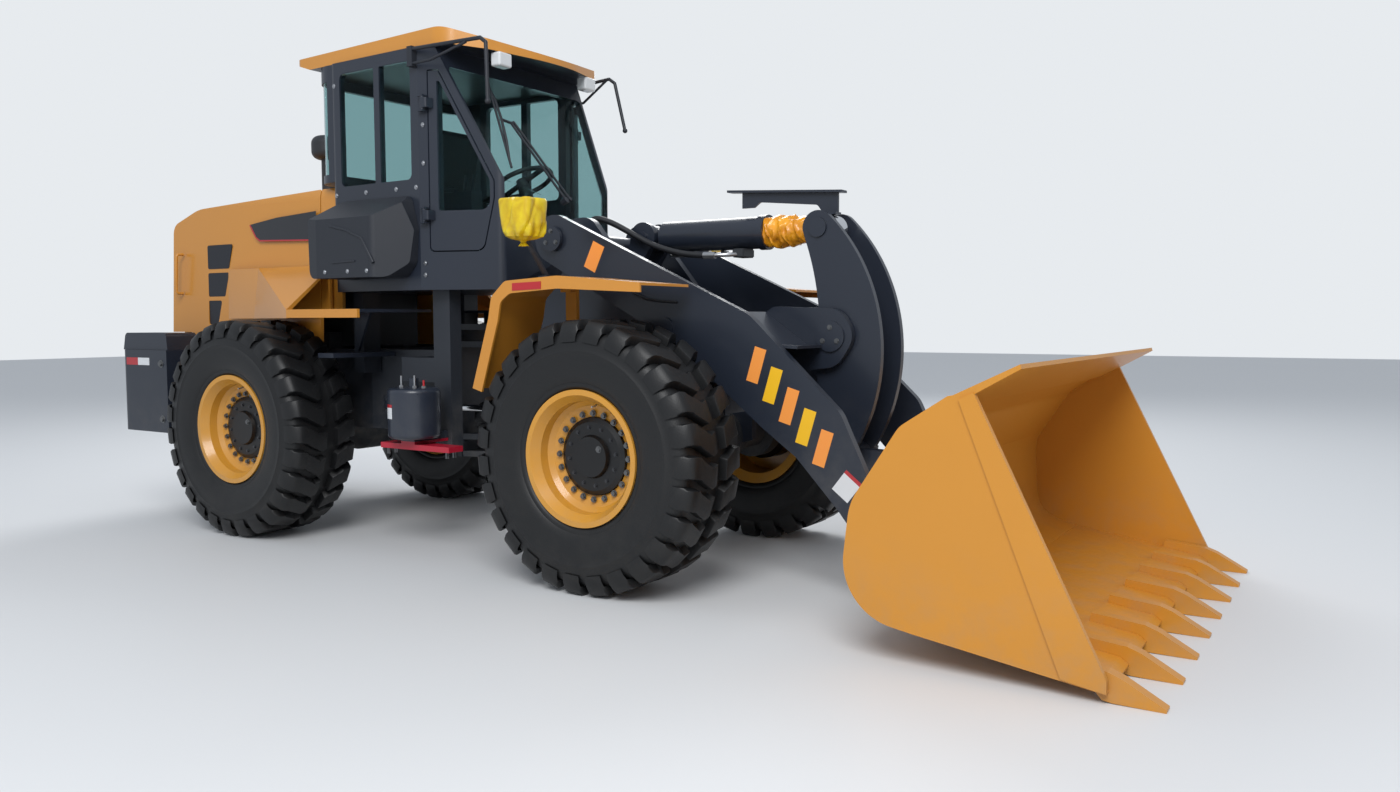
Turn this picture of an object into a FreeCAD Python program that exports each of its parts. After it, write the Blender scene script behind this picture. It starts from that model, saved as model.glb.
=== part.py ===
import FreeCAD, Part
import math
import os

# Articulated wheel loader, parked with its bucket on the ground.
# Lengths are millimetres, angles degrees. While it is built, the machine stands in its own
# frame: x forward from the steering hinge, y to the left, z up from the ground.
# When a piece is saved, it moves along x so that the origin lies below the middle of the machine.

# Wheels and tyres
wheelbase = 3050.0
wheel_centre_y = 940.0
tyre_radius = 745.0
tyre_width = 520.0
tyre_shoulder_radius = 655.0
tread_lugs = 20
tread_depth = 48.0
tread_face_edge = 200.0
tread_centre_groove = 30.0
tread_skew = 8.0
tyre_bulge_radius = 540.0
tyre_rim_guard = 26.0
bead_radius = 322.0
rim_flange_radius = 372.0
rim_flange_edge = 16.0
bead_seat_inset = 42.0
rim_width = 450.0
rim_wall = 14.0
rim_dish_depth = 130.0
hub_radius = 213.0
hub_length = 240.0
hub_cap_radius = 120.0
hub_cap_height = 35.0
spindle_radius = 80.0
spindle_length = 105.0

# Clearances
pin_clearance = 0.3
seat_gap = 0.3
swing_gap = 10.0

# Pins
main_pin_radius = 50.0
bucket_pin_radius = 45.0
small_pin_radius = 35.0
hinge_pin_radius = 45.0

# Pin places of the work arm, as (x, z)
boom_pivot = (870.0, 1975.0)
bucket_pivot = (2980.0, 420.0)
crank_pivot = (2547.0, 1392.0)
crank_top_pin = (2440.0, 2000.0)
crank_low_pin = (2578.0, 702.0)
link_pin = (3120.0, 680.0)
tilt_base_pin = (1200.0, 2000.0)
lift_base_pin = (500.0, 980.0)
lift_boom_pin = (1679.0, 1440.0)

# Boom
boom_outer_y = 570.0
boom_plate = 50.0
boom_eye_radius = 145.0
boom_nose_radius = 125.0
cross_tube_x = 2150.0
cross_tube_z = 1380.0
cross_tube_radius = 110.0
cross_plate = 16.0
cross_plate_top = (2135.0, 1530.0)
cross_plate_bend = (2398.0, 1350.0)
cross_plate_end = (2500.0, 1345.0)
crank_bracket_inner_y = 175.0
crank_bracket_plate = 40.0
crank_bracket_radius = 150.0

# Bellcrank and link
crank_inner_y = 125.0
crank_plate = 40.0
crank_eye_radius = 95.0
crank_hub_radius = 95.0
link_half_width = 45.0
link_eye_radius = 80.0
link_depth = 110.0

# Bucket
bucket_half_width = 1400.0
bucket_shell = 22.0
bucket_side_plate = 20.0
bucket_edge_strip = 10.0
bucket_lip_x = 4290.0
bucket_lip_z = 40.0
bucket_back_top = (3640.0, 1172.0)
bucket_back_bend = (3430.0, 1035.0)
bucket_back_middle = (3205.0, 690.0)
bucket_back_low = (3150.0, 215.0)
bucket_floor_start = (3503.0, 156.0)
bucket_side_top = (3751.0, 1190.0)
bucket_side_nose_z = 97.0
guard_rear_z = (1120.0, 1146.0)
guard_tip = (3935.0, 1308.0)
guard_plate = 18.0
bucket_floor_slope = 8.6
lip_plate = 32.0
lip_plate_depth = 260.0
lip_edge = 12.0
lip_bevel = 40.0
tooth_count = 8
tooth_width = 64.0
tooth_reach = 214.0
bucket_ear_plate = 40.0
bucket_ear_inner_gap = 20.0
bucket_ear_radius = 110.0
link_ear_gap = 10.0
link_ear_plate = 40.0
link_ear_radius = 85.0

# Cylinders
tilt_tube_radius = 95.0
tilt_tube_length = 843.0
tilt_rod_radius = 45.0
tilt_rod_start = 300.0
tilt_eye_half_width = 60.0
tilt_eye_radius = 80.0
level_bar_rear = (1771.0, 2259.0)
level_bar_front = (2525.0, 2215.0)
level_bar_half_width = 35.0
level_bar_plate = 14.0
level_bar_web = 16.0
level_bar_post = (2405.0, 2490.0)
level_bar_hanger = (1862.0, 1943.0)
level_bar_hanger_z = 2148.0
rod_wrap_length = 278.0
rod_wrap_radius = 90.0
lift_centre_y = 440.0
lift_tube_radius = 66.0
lift_tube_length = 960.0
lift_rod_radius = 36.0
lift_rod_start = 185.0
lift_eye_half_width = 40.0
lift_eye_radius = 62.0
steer_base = (-720.0, 450.0)
steer_tip = (220.0, 360.0)
steer_z = 900.0
steer_tube_radius = 45.0
steer_tube_length = 560.0
steer_rod_radius = 22.0
steer_rod_start = 325.0
steer_eye_radius = 48.0
steer_eye_half_width = 25.0
steer_lug_plate = 30.0
steer_lug_radius = 54.0
steer_pin_radius = 23.0
cylinder_wall = 12.0
cylinder_end_wall = 15.0
collar_length = 50.0
collar_step = 8.0
neck_length = 28.0

# Front frame
tower_outer_y = 355.0
tower_plate = 55.0
tower_rear_x = 450.0
tilt_lug_plate = 45.0
tilt_lug_radius = 92.0
front_web_plate = 40.0
hinge_lug_radius = 105.0
hinge_lug_plate = 60.0
hinge_fork_plate = 40.0
hinge_fork_gap = 10.0
hinge_levels = (620.0, 1380.0)
hinge_root_half_width = 230.0

# Axles
axle_tube_radius = 130.0
axle_pad_radius = 160.0
axle_pad_overhang = 10.0
axle_bulb_radius = 245.0
brake_drum_radius = 185.0
brake_drum_length = 110.0
shaft_radius = 45.0
shaft_z = 800.0

# Rear frame
rail_outer_y = 420.0
rail_plate = 40.0
rail_rear_x = -2900.0
rail_bend_x = -950.0
rail_front_x = -300.0
rail_front_half_width = 240.0
rail_low_z = 720.0
rail_high_z = 1280.0
post_x = -40.0
post_y = 570.0
post_size = (150.0, 100.0)
post_low_z = 640.0

# Counterweight and hitch
weight_front_x = -2420.0
weight_rear_x = -3140.0
weight_half_width = 1060.0
weight_low_z = 660.0
weight_high_z = 1270.0
weight_chamfer = 210.0
weight_corner = 160.0
hitch_pin_radius = 25.0
hitch_jaw_gap = 80.0
hitch_jaw_plate = 35.0
hitch_jaw_reach = 70.0
hitch_z = 820.0
tow_slot_depth = 60.0
tow_slot_half_width = 110.0

# Hood
hood_half_width = 660.0
hood_rear_x = -2970.0
hood_front_x = -1190.0
hood_low_z = 1290.0
hood_rear_low_z = 1400.0
hood_step_x = -2700.0
hood_rear_top_z = 2230.0
hood_front_top_z = 2403.0
hood_wall = 25.0
hood_edge_radius = 130.0
hood_hinge = (-2900.0, 1370.0)
hood_pin_radius = 15.0
hood_arm_inner_y = 560.0
hood_arm_plate = 30.0
hood_lug_plate = 13.0
hood_lug_gap = 2.0
intake_x = -1870.0
intake_pipe_radius = 58.0
intake_bowl_radius = 130.0
intake_bowl_rise = 332.0
intake_bowl_height = 180.0

# Rear fenders and walkway
fender_rear_x = -2190.0
fender_middle_x = -1740.0
fender_middle_reach = (80.0, 130.0)
fender_rear_reach = (16.0, 26.0)
fender_flare_x = -1040.0
fender_arch_z = 1502.0
walkway_front_x = -340.0
fender_outer_y = 1050.0
fender_top_z = 1870.0
fender_outer_z = 1560.0
fender_plate = 20.0
walkway_edge = 55.0

# Cab
cab_rear_x = -960.0
cab_pillar_x = -80.0
cab_front_x = 440.0
cab_rear_half_width = 720.0
cab_half_width = 750.0
cab_front_half_width = 550.0
cab_low_z = 1680.0
cab_sill_z = 1900.0
cab_high_z = 3210.0
cab_wall = 45.0
cab_brow_x = 30.0
cab_knee_z = 2250.0
cab_front_bow = 60.0
cab_corner_radius = 60.0
cab_back_x = -1170.0
cab_back_half_width = 705.0
cab_back_corner = 180.0
cab_back_low_z = 2425.0
back_window_low_z = 2480.0
window_low_z = 2385.0
window_top_drop = 80.0
window_rear_x = -850.0
window_front_x = -150.0
window_bar = (-502.0, -448.0)
window_corner = 40.0
screen_low_z = 2020.0
screen_top_drop = 130.0
screen_post = 22.0
door_rear_x = -20.0
door_front_x = 395.0
door_front_post = 50.0
door_top_width = 73.0
door_low_z = 1920.0
door_foot_x = 325.0
door_rear_rail = 60.0
door_front_rail = 31.0
door_window_low_z = 2180.0
door_window_top_width = 18.0
glass_plate = 8.0
door_gap = 8.0
door_flange = 12.0
door_rebate = 25.0
door_hinge_x = -25.0
door_hinge_y = 765.0
door_pin_radius = 8.0
door_knuckle_radius = 14.0
door_knuckle_height = 80.0
door_low_hinge_z = 2150.0
door_high_hinge_drop = 360.0
roof_rear_x = -1340.0
roof_front_x = 500.0
roof_corner_x = 330.0
roof_peak_x = 125.0
roof_rear_rise = 82.0
roof_peak_rise = 100.0
roof_front_drop = 22.0
roof_edge = 30.0
roof_half_width = 746.0
roof_front_half_width = 540.0

# Front fenders
front_fender_inner_y = 640.0
front_fender_outer_y = 1100.0
front_fender_plate = 14.0
front_fender_lip = 70.0
lamp_centre = (975.0, 960.0, 2060.0)
lamp_size = (110.0, 190.0, 150.0)
lamp_bag_size = (240.0, 220.0)
lamp_bag_room = (150.0, 205.0)
lamp_bag_low_z = 1923.0
lamp_bag_high_z = 2178.0

# Tanks and boxes beside the frame
air_tank_centre = (-60.0, 850.0)
air_tank_radius = 165.0
air_tank_low_z = 740.0
air_tank_high_z = 1060.0
side_box_outer_y = 1000.0
side_box_low_z = 1760.0
fuel_tank_front_x = -120.0
fuel_tank_rear_x = -700.0
fuel_tank_low_z = 700.0
fuel_tank_high_z = 1420.0
fuel_tank_outer_y = 940.0
ladder_depth = 85.0

origin_shift = -(bucket_lip_x + tooth_reach * math.cos(math.radians(bucket_floor_slope))
                 + weight_rear_x - hitch_jaw_reach) / 2


# Shapes
def box(x0, x1, y0, y1, z0, z1):
    return Part.makeBox(x1 - x0, y1 - y0, z1 - z0, FreeCAD.Vector(x0, y0, z0))


def cylinder_y(place, radius, y0, y1):
    start = FreeCAD.Vector(place[0], y0, place[1])
    return Part.makeCylinder(radius, y1 - y0, start, FreeCAD.Vector(0, 1, 0))


def cylinder_z(x, y, radius, z0, z1):
    return Part.makeCylinder(radius, z1 - z0, FreeCAD.Vector(x, y, z0), FreeCAD.Vector(0, 0, 1))


def rod_between(start, end, radius):
    a = FreeCAD.Vector(*start)
    b = FreeCAD.Vector(*end)
    return Part.makeCylinder(radius, (b - a).Length, a, b - a)


def rounded_wire(points, place):
    # each point is (u, v) or (u, v, corner radius); place turns (u, v) into a vector
    corners = [FreeCAD.Vector(p[0], p[1], 0) for p in points]
    radii = [p[2] if len(p) > 2 else 0.0 for p in points]
    starts = []
    ends = []
    middles = []
    count = len(points)
    for i in range(count):
        here = corners[i]
        back = (corners[i - 1] - here).normalize()
        ahead = (corners[(i + 1) % count] - here).normalize()
        half = back.getAngle(ahead) / 2
        if radii[i] == 0:
            starts.append(here)
            ends.append(here)
            middles.append(None)
            continue
        reach = radii[i] / math.tan(half)
        starts.append(here + back * reach)
        ends.append(here + ahead * reach)
        bisector = (back + ahead).normalize()
        middles.append(here + bisector * (radii[i] / math.sin(half) - radii[i]))
    edges = []
    for i in range(count):
        if middles[i] is not None:
            arc = Part.Arc(place(starts[i]), place(middles[i]), place(ends[i]))
            edges.append(arc.toShape())
        a = ends[i]
        b = starts[(i + 1) % count]
        if (b - a).Length > 0.01:
            edges.append(Part.LineSegment(place(a), place(b)).toShape())
    return Part.Wire(edges)


def side_plate(points, y0, y1):
    # an outline seen from the side, (x, z), as a plate between two y
    wire = rounded_wire(points, lambda p: FreeCAD.Vector(p.x, y0, p.y))
    return Part.Face(wire).extrude(FreeCAD.Vector(0, y1 - y0, 0))


def plan_plate(points, z0, z1):
    # an outline seen from above, (x, y), as a plate between two z
    wire = rounded_wire(points, lambda p: FreeCAD.Vector(p.x, p.y, z0))
    return Part.Face(wire).extrude(FreeCAD.Vector(0, 0, z1 - z0))


def lathe_y(profile, centre, side=1):
    # profile points are (radius, y); the axis lies along y through centre (x, z)
    points = [FreeCAD.Vector(centre[0], side * y, centre[1] + r) for r, y in profile]
    wire = Part.makePolygon(points + [points[0]])
    axis_point = FreeCAD.Vector(centre[0], 0, centre[1])
    turned = Part.Face(wire).revolve(axis_point, FreeCAD.Vector(0, 1, 0), 360)
    return turned


def fuse(shapes):
    joined = shapes[0].multiFuse(shapes[1:]) if len(shapes) > 1 else shapes[0]
    return joined.removeSplitter()


def mirrored(shape):
    return shape.mirror(FreeCAD.Vector(0, 0, 0), FreeCAD.Vector(0, 1, 0))


def pair(shape):
    return [shape, mirrored(shape)]


def save(node, shapes):
    solids = []
    for shape in shapes:
        for solid in shape.Solids:
            moved = solid.copy()
            moved.translate(FreeCAD.Vector(origin_shift, 0, 0))
            solids.append(moved)
    whole = solids[0] if len(solids) == 1 else Part.makeCompound(solids)
    whole.exportStep("parts/" + node + ".step")


def distance(a, b):
    return math.hypot(b[0] - a[0], b[1] - a[1])


def direction(a, b):
    return ((b[0] - a[0]) / distance(a, b), (b[1] - a[1]) / distance(a, b))


def beyond(a, b, length):
    # the point at a length from a on the way to b
    way = direction(a, b)
    return (a[0] + way[0] * length, a[1] + way[1] * length)


def at_y(place, y):
    return (place[0], y, place[1])


# Tyres and wheels
def polygon_face(points):
    return Part.Face(Part.makePolygon(points + [points[0]]))


def tyre_tread(ring, high, low):
    # one half of the tread, y above zero: raised lugs and the grooves between them; every second
    # sector is a lug, and the lugs lean forward from the shoulder to the middle
    faces = []
    shoulder = tyre_shoulder_radius
    edge = tyre_width / 2 - 2
    for i in range(0, 2 * tread_lugs, 2):
        for sector, top in ((i, high), (i + 1, low)):
            near = (ring(sector, top, tread_face_edge, 0), ring(sector + 1, top, tread_face_edge, 0))
            far = (ring(sector, top, tread_centre_groove / 2, tread_skew),
                   ring(sector + 1, top, tread_centre_groove / 2, tread_skew))
            foot = (ring(sector, shoulder, edge, 0), ring(sector + 1, shoulder, edge, 0))
            faces += [polygon_face([near[0], near[1], far[0]]), polygon_face([near[1], far[1], far[0]])]
            faces.append(polygon_face([foot[0], foot[1], near[1], near[0]]))
        for sector in (i, i + 1):
            a, b = ring(sector, low, tread_face_edge, 0), ring(sector, high, tread_face_edge, 0)
            c = ring(sector, high, tread_centre_groove / 2, tread_skew)
            d = ring(sector, low, tread_centre_groove / 2, tread_skew)
            faces += [polygon_face([a, b, c]), polygon_face([a, c, d])]
            faces.append(polygon_face([ring(sector, shoulder, edge, 0), b, a]))
        e, f = (ring(i + j, low, tread_centre_groove / 2, tread_skew) for j in (0, 1))
        g, h = (ring(i + j, high, tread_centre_groove / 2, tread_skew) for j in (0, 1))
        faces.append(polygon_face([e, f, h, g]))
    return faces


def tyre():
    # flat faces all round: 2 sectors for each lug, with the lugs of the two halves in turn
    sectors = 2 * tread_lugs
    step = 360.0 / sectors
    widen = 1 / math.cos(math.radians(step / 2))
    half = tyre_width / 2
    rim_half = rim_width / 2
    flange = rim_half - rim_flange_edge - seat_gap
    bead = rim_half - bead_seat_inset - seat_gap
    guard = rim_flange_radius + 1

    def place(side):
        def ring(sector, radius, y, skew):
            # the right half starts one sector later, so that its lugs meet the left half's grooves
            turn = math.radians(-90 + (sector + (side < 0)) * step + skew)
            return FreeCAD.Vector(radius * math.cos(turn), side * y, radius * math.sin(turn))
        return ring

    faces = []
    low = tyre_radius - tread_depth
    bands = [(tyre_shoulder_radius, half - 2), (tyre_bulge_radius, half),
             ((rim_flange_radius + tyre_rim_guard) * widen, rim_half + 8), (guard * widen, flange),
             (bead_radius * widen, bead)]
    for side in (1, -1):
        ring = place(side)
        faces += tyre_tread(ring, tyre_radius, low)
        for i in range(sectors):
            for (r0, y0), (r1, y1) in zip(bands, bands[1:]):
                faces.append(polygon_face([ring(i, r0, y0, 0), ring(i + 1, r0, y0, 0),
                                           ring(i + 1, r1, y1, 0), ring(i, r1, y1, 0)]))
    left, right = place(1), place(-1)
    for i in range(sectors):
        groove = tread_centre_groove / 2
        faces.append(polygon_face([left(i + 1, low, groove, tread_skew), left(i + 2, low, groove, tread_skew),
                                   right(i + 1, low, groove, tread_skew), right(i, low, groove, tread_skew)]))
        faces.append(polygon_face([left(i + 1, bead_radius * widen, bead, 0), left(i + 2, bead_radius * widen, bead, 0),
                                   right(i + 1, bead_radius * widen, bead, 0), right(i, bead_radius * widen, bead, 0)]))
    shell = Part.makeShell(faces)
    solid = Part.makeSolid(shell)
    if solid.Volume < 0:
        solid.reverse()
    return solid


def wheel(x, side):
    # the rim with its dished disc, and the planet hub bolted to it
    outer = wheel_centre_y + rim_width / 2
    inner = wheel_centre_y - rim_width / 2
    face = outer - rim_dish_depth
    seat = bead_radius - seat_gap
    profile = [
        (rim_flange_radius, outer), (rim_flange_radius, outer - rim_flange_edge),
        (seat, outer - bead_seat_inset), (seat, inner + bead_seat_inset),
        (rim_flange_radius, inner + rim_flange_edge), (rim_flange_radius, inner),
        (seat - rim_wall, inner + 30), (seat - rim_wall, face - 60),
        (hub_radius - 3, face - 60), (hub_radius - 3, face - 20), (seat - rim_wall - 30, face),
        (seat - rim_wall - 4, face + 25), (seat - rim_wall, outer - bead_seat_inset - 8),
        (rim_flange_radius - 30, outer),
    ]
    rim = lathe_y(profile, (x, tyre_radius), side)
    hub_inner = face - hub_length
    bore = spindle_radius + pin_clearance
    hub_profile = [
        (bore, hub_inner), (hub_radius - 30, hub_inner), (hub_radius, hub_inner + 40),
        (hub_radius, face), (hub_radius - 25, face + 12), (hub_cap_radius, face + 12),
        (hub_cap_radius - 10, face + hub_cap_height), (0, face + hub_cap_height),
        (0, hub_inner + spindle_length), (bore, hub_inner + spindle_length),
    ]
    hub = lathe_y(hub_profile, (x, tyre_radius), side)
    return fuse([rim, hub])


axle_x = {"front": wheelbase / 2, "rear": -wheelbase / 2}
sides = {"left": 1, "right": -1}


def save_wheels():
    pattern = tyre()
    for end, x in axle_x.items():
        for name, side in sides.items():
            shape = pattern.copy()
            shape.translate(FreeCAD.Vector(x, side * wheel_centre_y, tyre_radius))
            save("tyre_" + end + "_" + name, [shape])
            save("wheel_" + end + "_" + name, [wheel(x, side)])


def axle(x, pad_inner, pad_outer):
    hub_inner = wheel_centre_y + rim_width / 2 - rim_dish_depth - hub_length
    drum_outer = hub_inner - swing_gap
    drum_inner = drum_outer - brake_drum_length
    profile = [
        (0, 0), (axle_bulb_radius, 0), (axle_bulb_radius, 90), (axle_tube_radius + 30, 210),
        (axle_tube_radius, 260), (axle_tube_radius, pad_inner), (axle_pad_radius, pad_inner),
        (axle_pad_radius, pad_outer), (axle_tube_radius - 10, pad_outer),
        (axle_tube_radius - 15, drum_inner), (brake_drum_radius, drum_inner),
        (brake_drum_radius, drum_outer), (spindle_radius + 25, drum_outer),
        (spindle_radius + 25, hub_inner - seat_gap), (spindle_radius, hub_inner - seat_gap),
        (spindle_radius, hub_inner + spindle_length - swing_gap), (0, hub_inner + spindle_length - swing_gap),
    ]
    half = lathe_y(profile, (x, tyre_radius))
    return fuse(pair(half))


def save_axles():
    front_input = axle_x["front"] - axle_bulb_radius - 60
    nose = rod_between((front_input, 0, shaft_z), (axle_x["front"], 0, shaft_z), 110)
    shaft = rod_between((swing_gap + 45, 0, shaft_z), (front_input, 0, shaft_z), shaft_radius)
    joint = rod_between((swing_gap + 40, 0, shaft_z), (swing_gap + 110, 0, shaft_z), shaft_radius + 25)
    pad_inner = tower_outer_y - tower_plate - axle_pad_overhang
    pad_outer = tower_outer_y + axle_pad_overhang
    save("front_axle", [fuse([axle(axle_x["front"], pad_inner, pad_outer), nose, shaft, joint])])
    rear_input = axle_x["rear"] + axle_bulb_radius + 60
    nose = rod_between((axle_x["rear"], 0, shaft_z), (rear_input, 0, shaft_z), 110)
    pad_inner = rail_outer_y - rail_plate - axle_pad_overhang
    pad_outer = rail_outer_y + axle_pad_overhang
    save("rear_axle", [fuse([axle(axle_x["rear"], pad_inner, pad_outer), nose])])


# Front frame
def hinge_lug(level):
    root = tower_rear_x + front_web_plate / 2
    outline = [(root, -hinge_root_half_width), (root, hinge_root_half_width),
               (-hinge_lug_radius, hinge_lug_radius, hinge_lug_radius - 1),
               (-hinge_lug_radius, -hinge_lug_radius, hinge_lug_radius - 1)]
    low = level - hinge_lug_plate / 2
    lug = plan_plate(outline, low, low + hinge_lug_plate)
    return lug.cut(cylinder_z(0, 0, hinge_pin_radius + pin_clearance, low - 1, low + hinge_lug_plate + 1))


def front_frame():
    front_x = 1950.0
    outline = [(tower_rear_x, 520), (tower_rear_x, 1500, 120), (785, 1800, 150), (745, 2110, 120),
               (980, 2120, 120), (1330, 1700, 250), (front_x, 1080, 150), (front_x, 900),
               (axle_x["front"] + 230, 870), (axle_x["front"] + 230, 720), (1000, 520)]
    inner = tower_outer_y - tower_plate
    near = side_plate(outline, -tower_outer_y, -inner)
    seat = cylinder_y((axle_x["front"], tyre_radius), axle_pad_radius + seat_gap, -tower_outer_y - 1, 0)
    near = near.cut(seat)
    pieces = pair(near)
    web_far = tower_rear_x + front_web_plate
    pieces.append(box(tower_rear_x, web_far, -inner, inner, 520, 740))
    pieces.append(box(tower_rear_x, web_far, -inner, inner, 880, 1500))
    pieces.append(box(1500, 1540, -inner, inner, 1010, 1300))
    pieces.append(box(1890, 1930, -inner, inner, 940, 1060))
    pieces.append(box(900, 940, -inner, inner, 1240, 1700))
    pieces += [hinge_lug(level) for level in hinge_levels]
    # boom pivot shaft with its spacers and end caps
    arm_inner = boom_outer_y - boom_plate
    pieces.append(cylinder_y(boom_pivot, main_pin_radius, -boom_outer_y - 30, boom_outer_y + 30))
    spacer = cylinder_y(boom_pivot, 85, -arm_inner + 7, -tower_outer_y + 5)
    cap = cylinder_y(boom_pivot, 75, -boom_outer_y - 30, -boom_outer_y - 7)
    pieces += pair(spacer) + pair(cap)
    # cross member and lugs of the tilt cylinder
    pieces.append(box(1020, 1060, -inner, inner, 1640, 1830))
    lug_inner = tilt_eye_half_width + 6
    lug_outer = lug_inner + tilt_lug_plate
    tx, tz = tilt_base_pin
    lug = side_plate([(1020, 1650), (tx - tilt_lug_radius + 5, tz), (tx + tilt_lug_radius * 0.8, tz - 45), (1060, 1640)],
                     lug_inner, lug_outer)
    pieces += pair(fuse([lug, cylinder_y(tilt_base_pin, tilt_lug_radius, lug_inner, lug_outer)]))
    pieces.append(cylinder_y(tilt_base_pin, small_pin_radius, -lug_inner - 60, lug_inner + 60))
    # lugs of the lift cylinders and of the steering cylinders
    low, high = lift_centre_y - lift_eye_half_width, lift_centre_y + lift_eye_half_width
    pin = cylinder_y(lift_base_pin, small_pin_radius, tower_outer_y - 5, high + 12)
    boss = cylinder_y(lift_base_pin, lift_eye_radius, tower_outer_y - 5, low - 5)
    head = cylinder_y(lift_base_pin, small_pin_radius + 15, high + 5, high + 17)
    pieces += pair(fuse([pin, boss, head]))
    for base in (steer_z - steer_eye_half_width - 5 - steer_lug_plate, steer_z + steer_eye_half_width + 5):
        sx, sy = steer_tip
        outline = [(tower_rear_x + 5, tower_outer_y), (tower_rear_x + 5, 150), (sx + 20, sy - 105, 40),
                   (sx - 10, sy - steer_lug_radius + 1), (sx + 15, sy + steer_lug_radius - 1)]
        lug = plan_plate(outline, base, base + steer_lug_plate)
        head = cylinder_z(sx, sy, steer_lug_radius, base, base + steer_lug_plate)
        pieces += pair(fuse([lug, head]))
    top = steer_z + steer_eye_half_width + 5 + steer_lug_plate
    pieces += pair(cylinder_z(steer_tip[0], steer_tip[1], steer_pin_radius + 12, top - 1, top + 14))
    return fuse(pieces)


def front_fender():
    low, high = front_fender_inner_y, front_fender_outer_y
    outer = [(696, 1095), (827, 1496, 60), (850, 1617, 60), (954, 1706, 60), (1334, 1727, 200), (1887, 1679)]
    # the sheet is the room between two such outlines, a plate's thickness apart
    t = front_fender_plate
    inner = [(1887, 1679 - t), (1334, 1727 - t, 200), (960, 1706 - t, 60), (850 + t, 1613, 60),
             (827 + t, 1494, 60), (696 + t, 1090)]
    sheet = side_plate(outer + inner, low, high)
    lip = front_fender_lip
    edge = [(1887, 1679 - lip + 20), (1334, 1727 - lip, 200), (990, 1706 - lip, 60), (850 + lip, 1590, 60),
            (827 + lip, 1480, 60), (696 + lip, 1075)]
    rim = side_plate(outer + edge, high - t, high)
    # bracket to the tower's side
    start = tower_outer_y + seat_gap
    arm = box(1010, 1090, start, low - 1, 985, 1015)
    leg = box(1010, 1090, start, start + 25, 950, 1050)
    stay = box(1010, 1090, low - 36, low - 8, 985, 1660)
    head = box(1010, 1090, low - 36, low + 40, 1650, 1712 - t)
    return fuse([sheet, rim, arm, leg, stay, head])


def headlamp():
    x, y, z = lamp_centre
    length, height, width = lamp_size
    body = box(x - length / 2, x + length / 2, y - width / 2, y + width / 2, z - height / 2, z + height / 2)
    body = body.makeFillet(25, body.Edges)
    knee = (x + 20, y - 60, lamp_bag_low_z - 50)
    foot_x = x + 35
    foot_y = 800
    stalk = rod_between((x, y, z - height / 2 + 10), knee, 16)
    arm = rod_between(knee, (foot_x, foot_y, fender_top_z_at(foot_x) + 25), 16)
    low, high = fender_top_z_at(foot_x - 35), fender_top_z_at(foot_x + 35)
    foot = side_plate([(foot_x - 35, low), (foot_x + 35, high), (foot_x + 35, high + 33), (foot_x - 35, low + 33)],
                      foot_y - 40, foot_y + 40)
    return fuse([body, stalk, arm, foot])


def lamp_bag():
    # a bag over the lamp, open below
    x, y, z = lamp_centre
    length, width = lamp_bag_size
    room, room_width = lamp_bag_room
    bag = box(x - length / 2, x + length / 2, y - width / 2, y + width / 2, lamp_bag_low_z, lamp_bag_high_z)
    bag = bag.makeFillet(30, [e for e in bag.Edges if e.BoundBox.ZMax > lamp_bag_low_z + 1])
    top = z + lamp_size[1] / 2 + seat_gap
    return bag.cut(box(x - room / 2, x + room / 2, y - room_width / 2, y + room_width / 2, lamp_bag_low_z - 1, top))


def fender_top_z_at(x):
    # the front fender's upper face in its flat part, with a seat gap
    return 1706 + (1727 - 1706) * (x - 954) / (1334 - 954) + seat_gap


# Boom
def boom():
    outline = [(905, 2117), (2231, 1514, 260), (2775, 1003, 160), (2925, 690, 200), (3060, 380, 60),
               (2900, 325, 60), (2760, 500, 60), (2520, 755, 150), (2310, 905, 200), (1990, 1160, 250),
               (1500, 1480, 250), (800, 1848)]
    inner = boom_outer_y - boom_plate
    arm = side_plate(outline, inner, boom_outer_y)
    nose_inner = inner - 15
    nose_outer = boom_outer_y + 15
    arm = fuse([arm, cylinder_y(boom_pivot, boom_eye_radius, inner, boom_outer_y),
                cylinder_y(bucket_pivot, boom_nose_radius, nose_inner, nose_outer)])
    arm = arm.cut(cylinder_y(boom_pivot, main_pin_radius + pin_clearance, inner - 1, boom_outer_y + 1))
    arm = arm.cut(cylinder_y(bucket_pivot, bucket_pin_radius + pin_clearance, nose_inner - 1, nose_outer + 1))
    lift_boss = cylinder_y(lift_boom_pin, lift_eye_radius, boom_outer_y - 1, boom_outer_y + 14)
    pieces = pair(fuse([arm, lift_boss]))
    tube = cylinder_y((cross_tube_x, cross_tube_z), cross_tube_radius, -inner - 5, inner + 5)
    pieces.append(tube)
    low = crank_bracket_inner_y
    high = low + crank_bracket_plate
    x, z = crank_pivot
    bracket = side_plate([(2097, 1500, 40), (2190, 1560, 60), (x + 60, z + crank_bracket_radius + 4, 130),
                          (x + crank_bracket_radius, z, 120), (x + 40, z - crank_bracket_radius - 20, 130),
                          (2300, 1190, 80), (2080, 1270, 40)], low, high)
    pieces += pair(bracket)
    (ax, az), (bx, bz), (cx, cz) = cross_plate_top, cross_plate_bend, cross_plate_end
    t = cross_plate
    plate = side_plate([(ax, az), (bx, bz), (cx, cz), (cx, cz - t), (bx - t * 0.4, bz - t), (ax - t * 0.6, az - t)],
                       high - 1, inner + 1)
    pieces += pair(plate)
    pieces.append(cylinder_y(crank_pivot, main_pin_radius, -high - 12, high + 12))
    cap = cylinder_y(crank_pivot, main_pin_radius + 35, high - 1, high + 12)
    pieces += pair(cap)
    return fuse(pieces)


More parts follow.
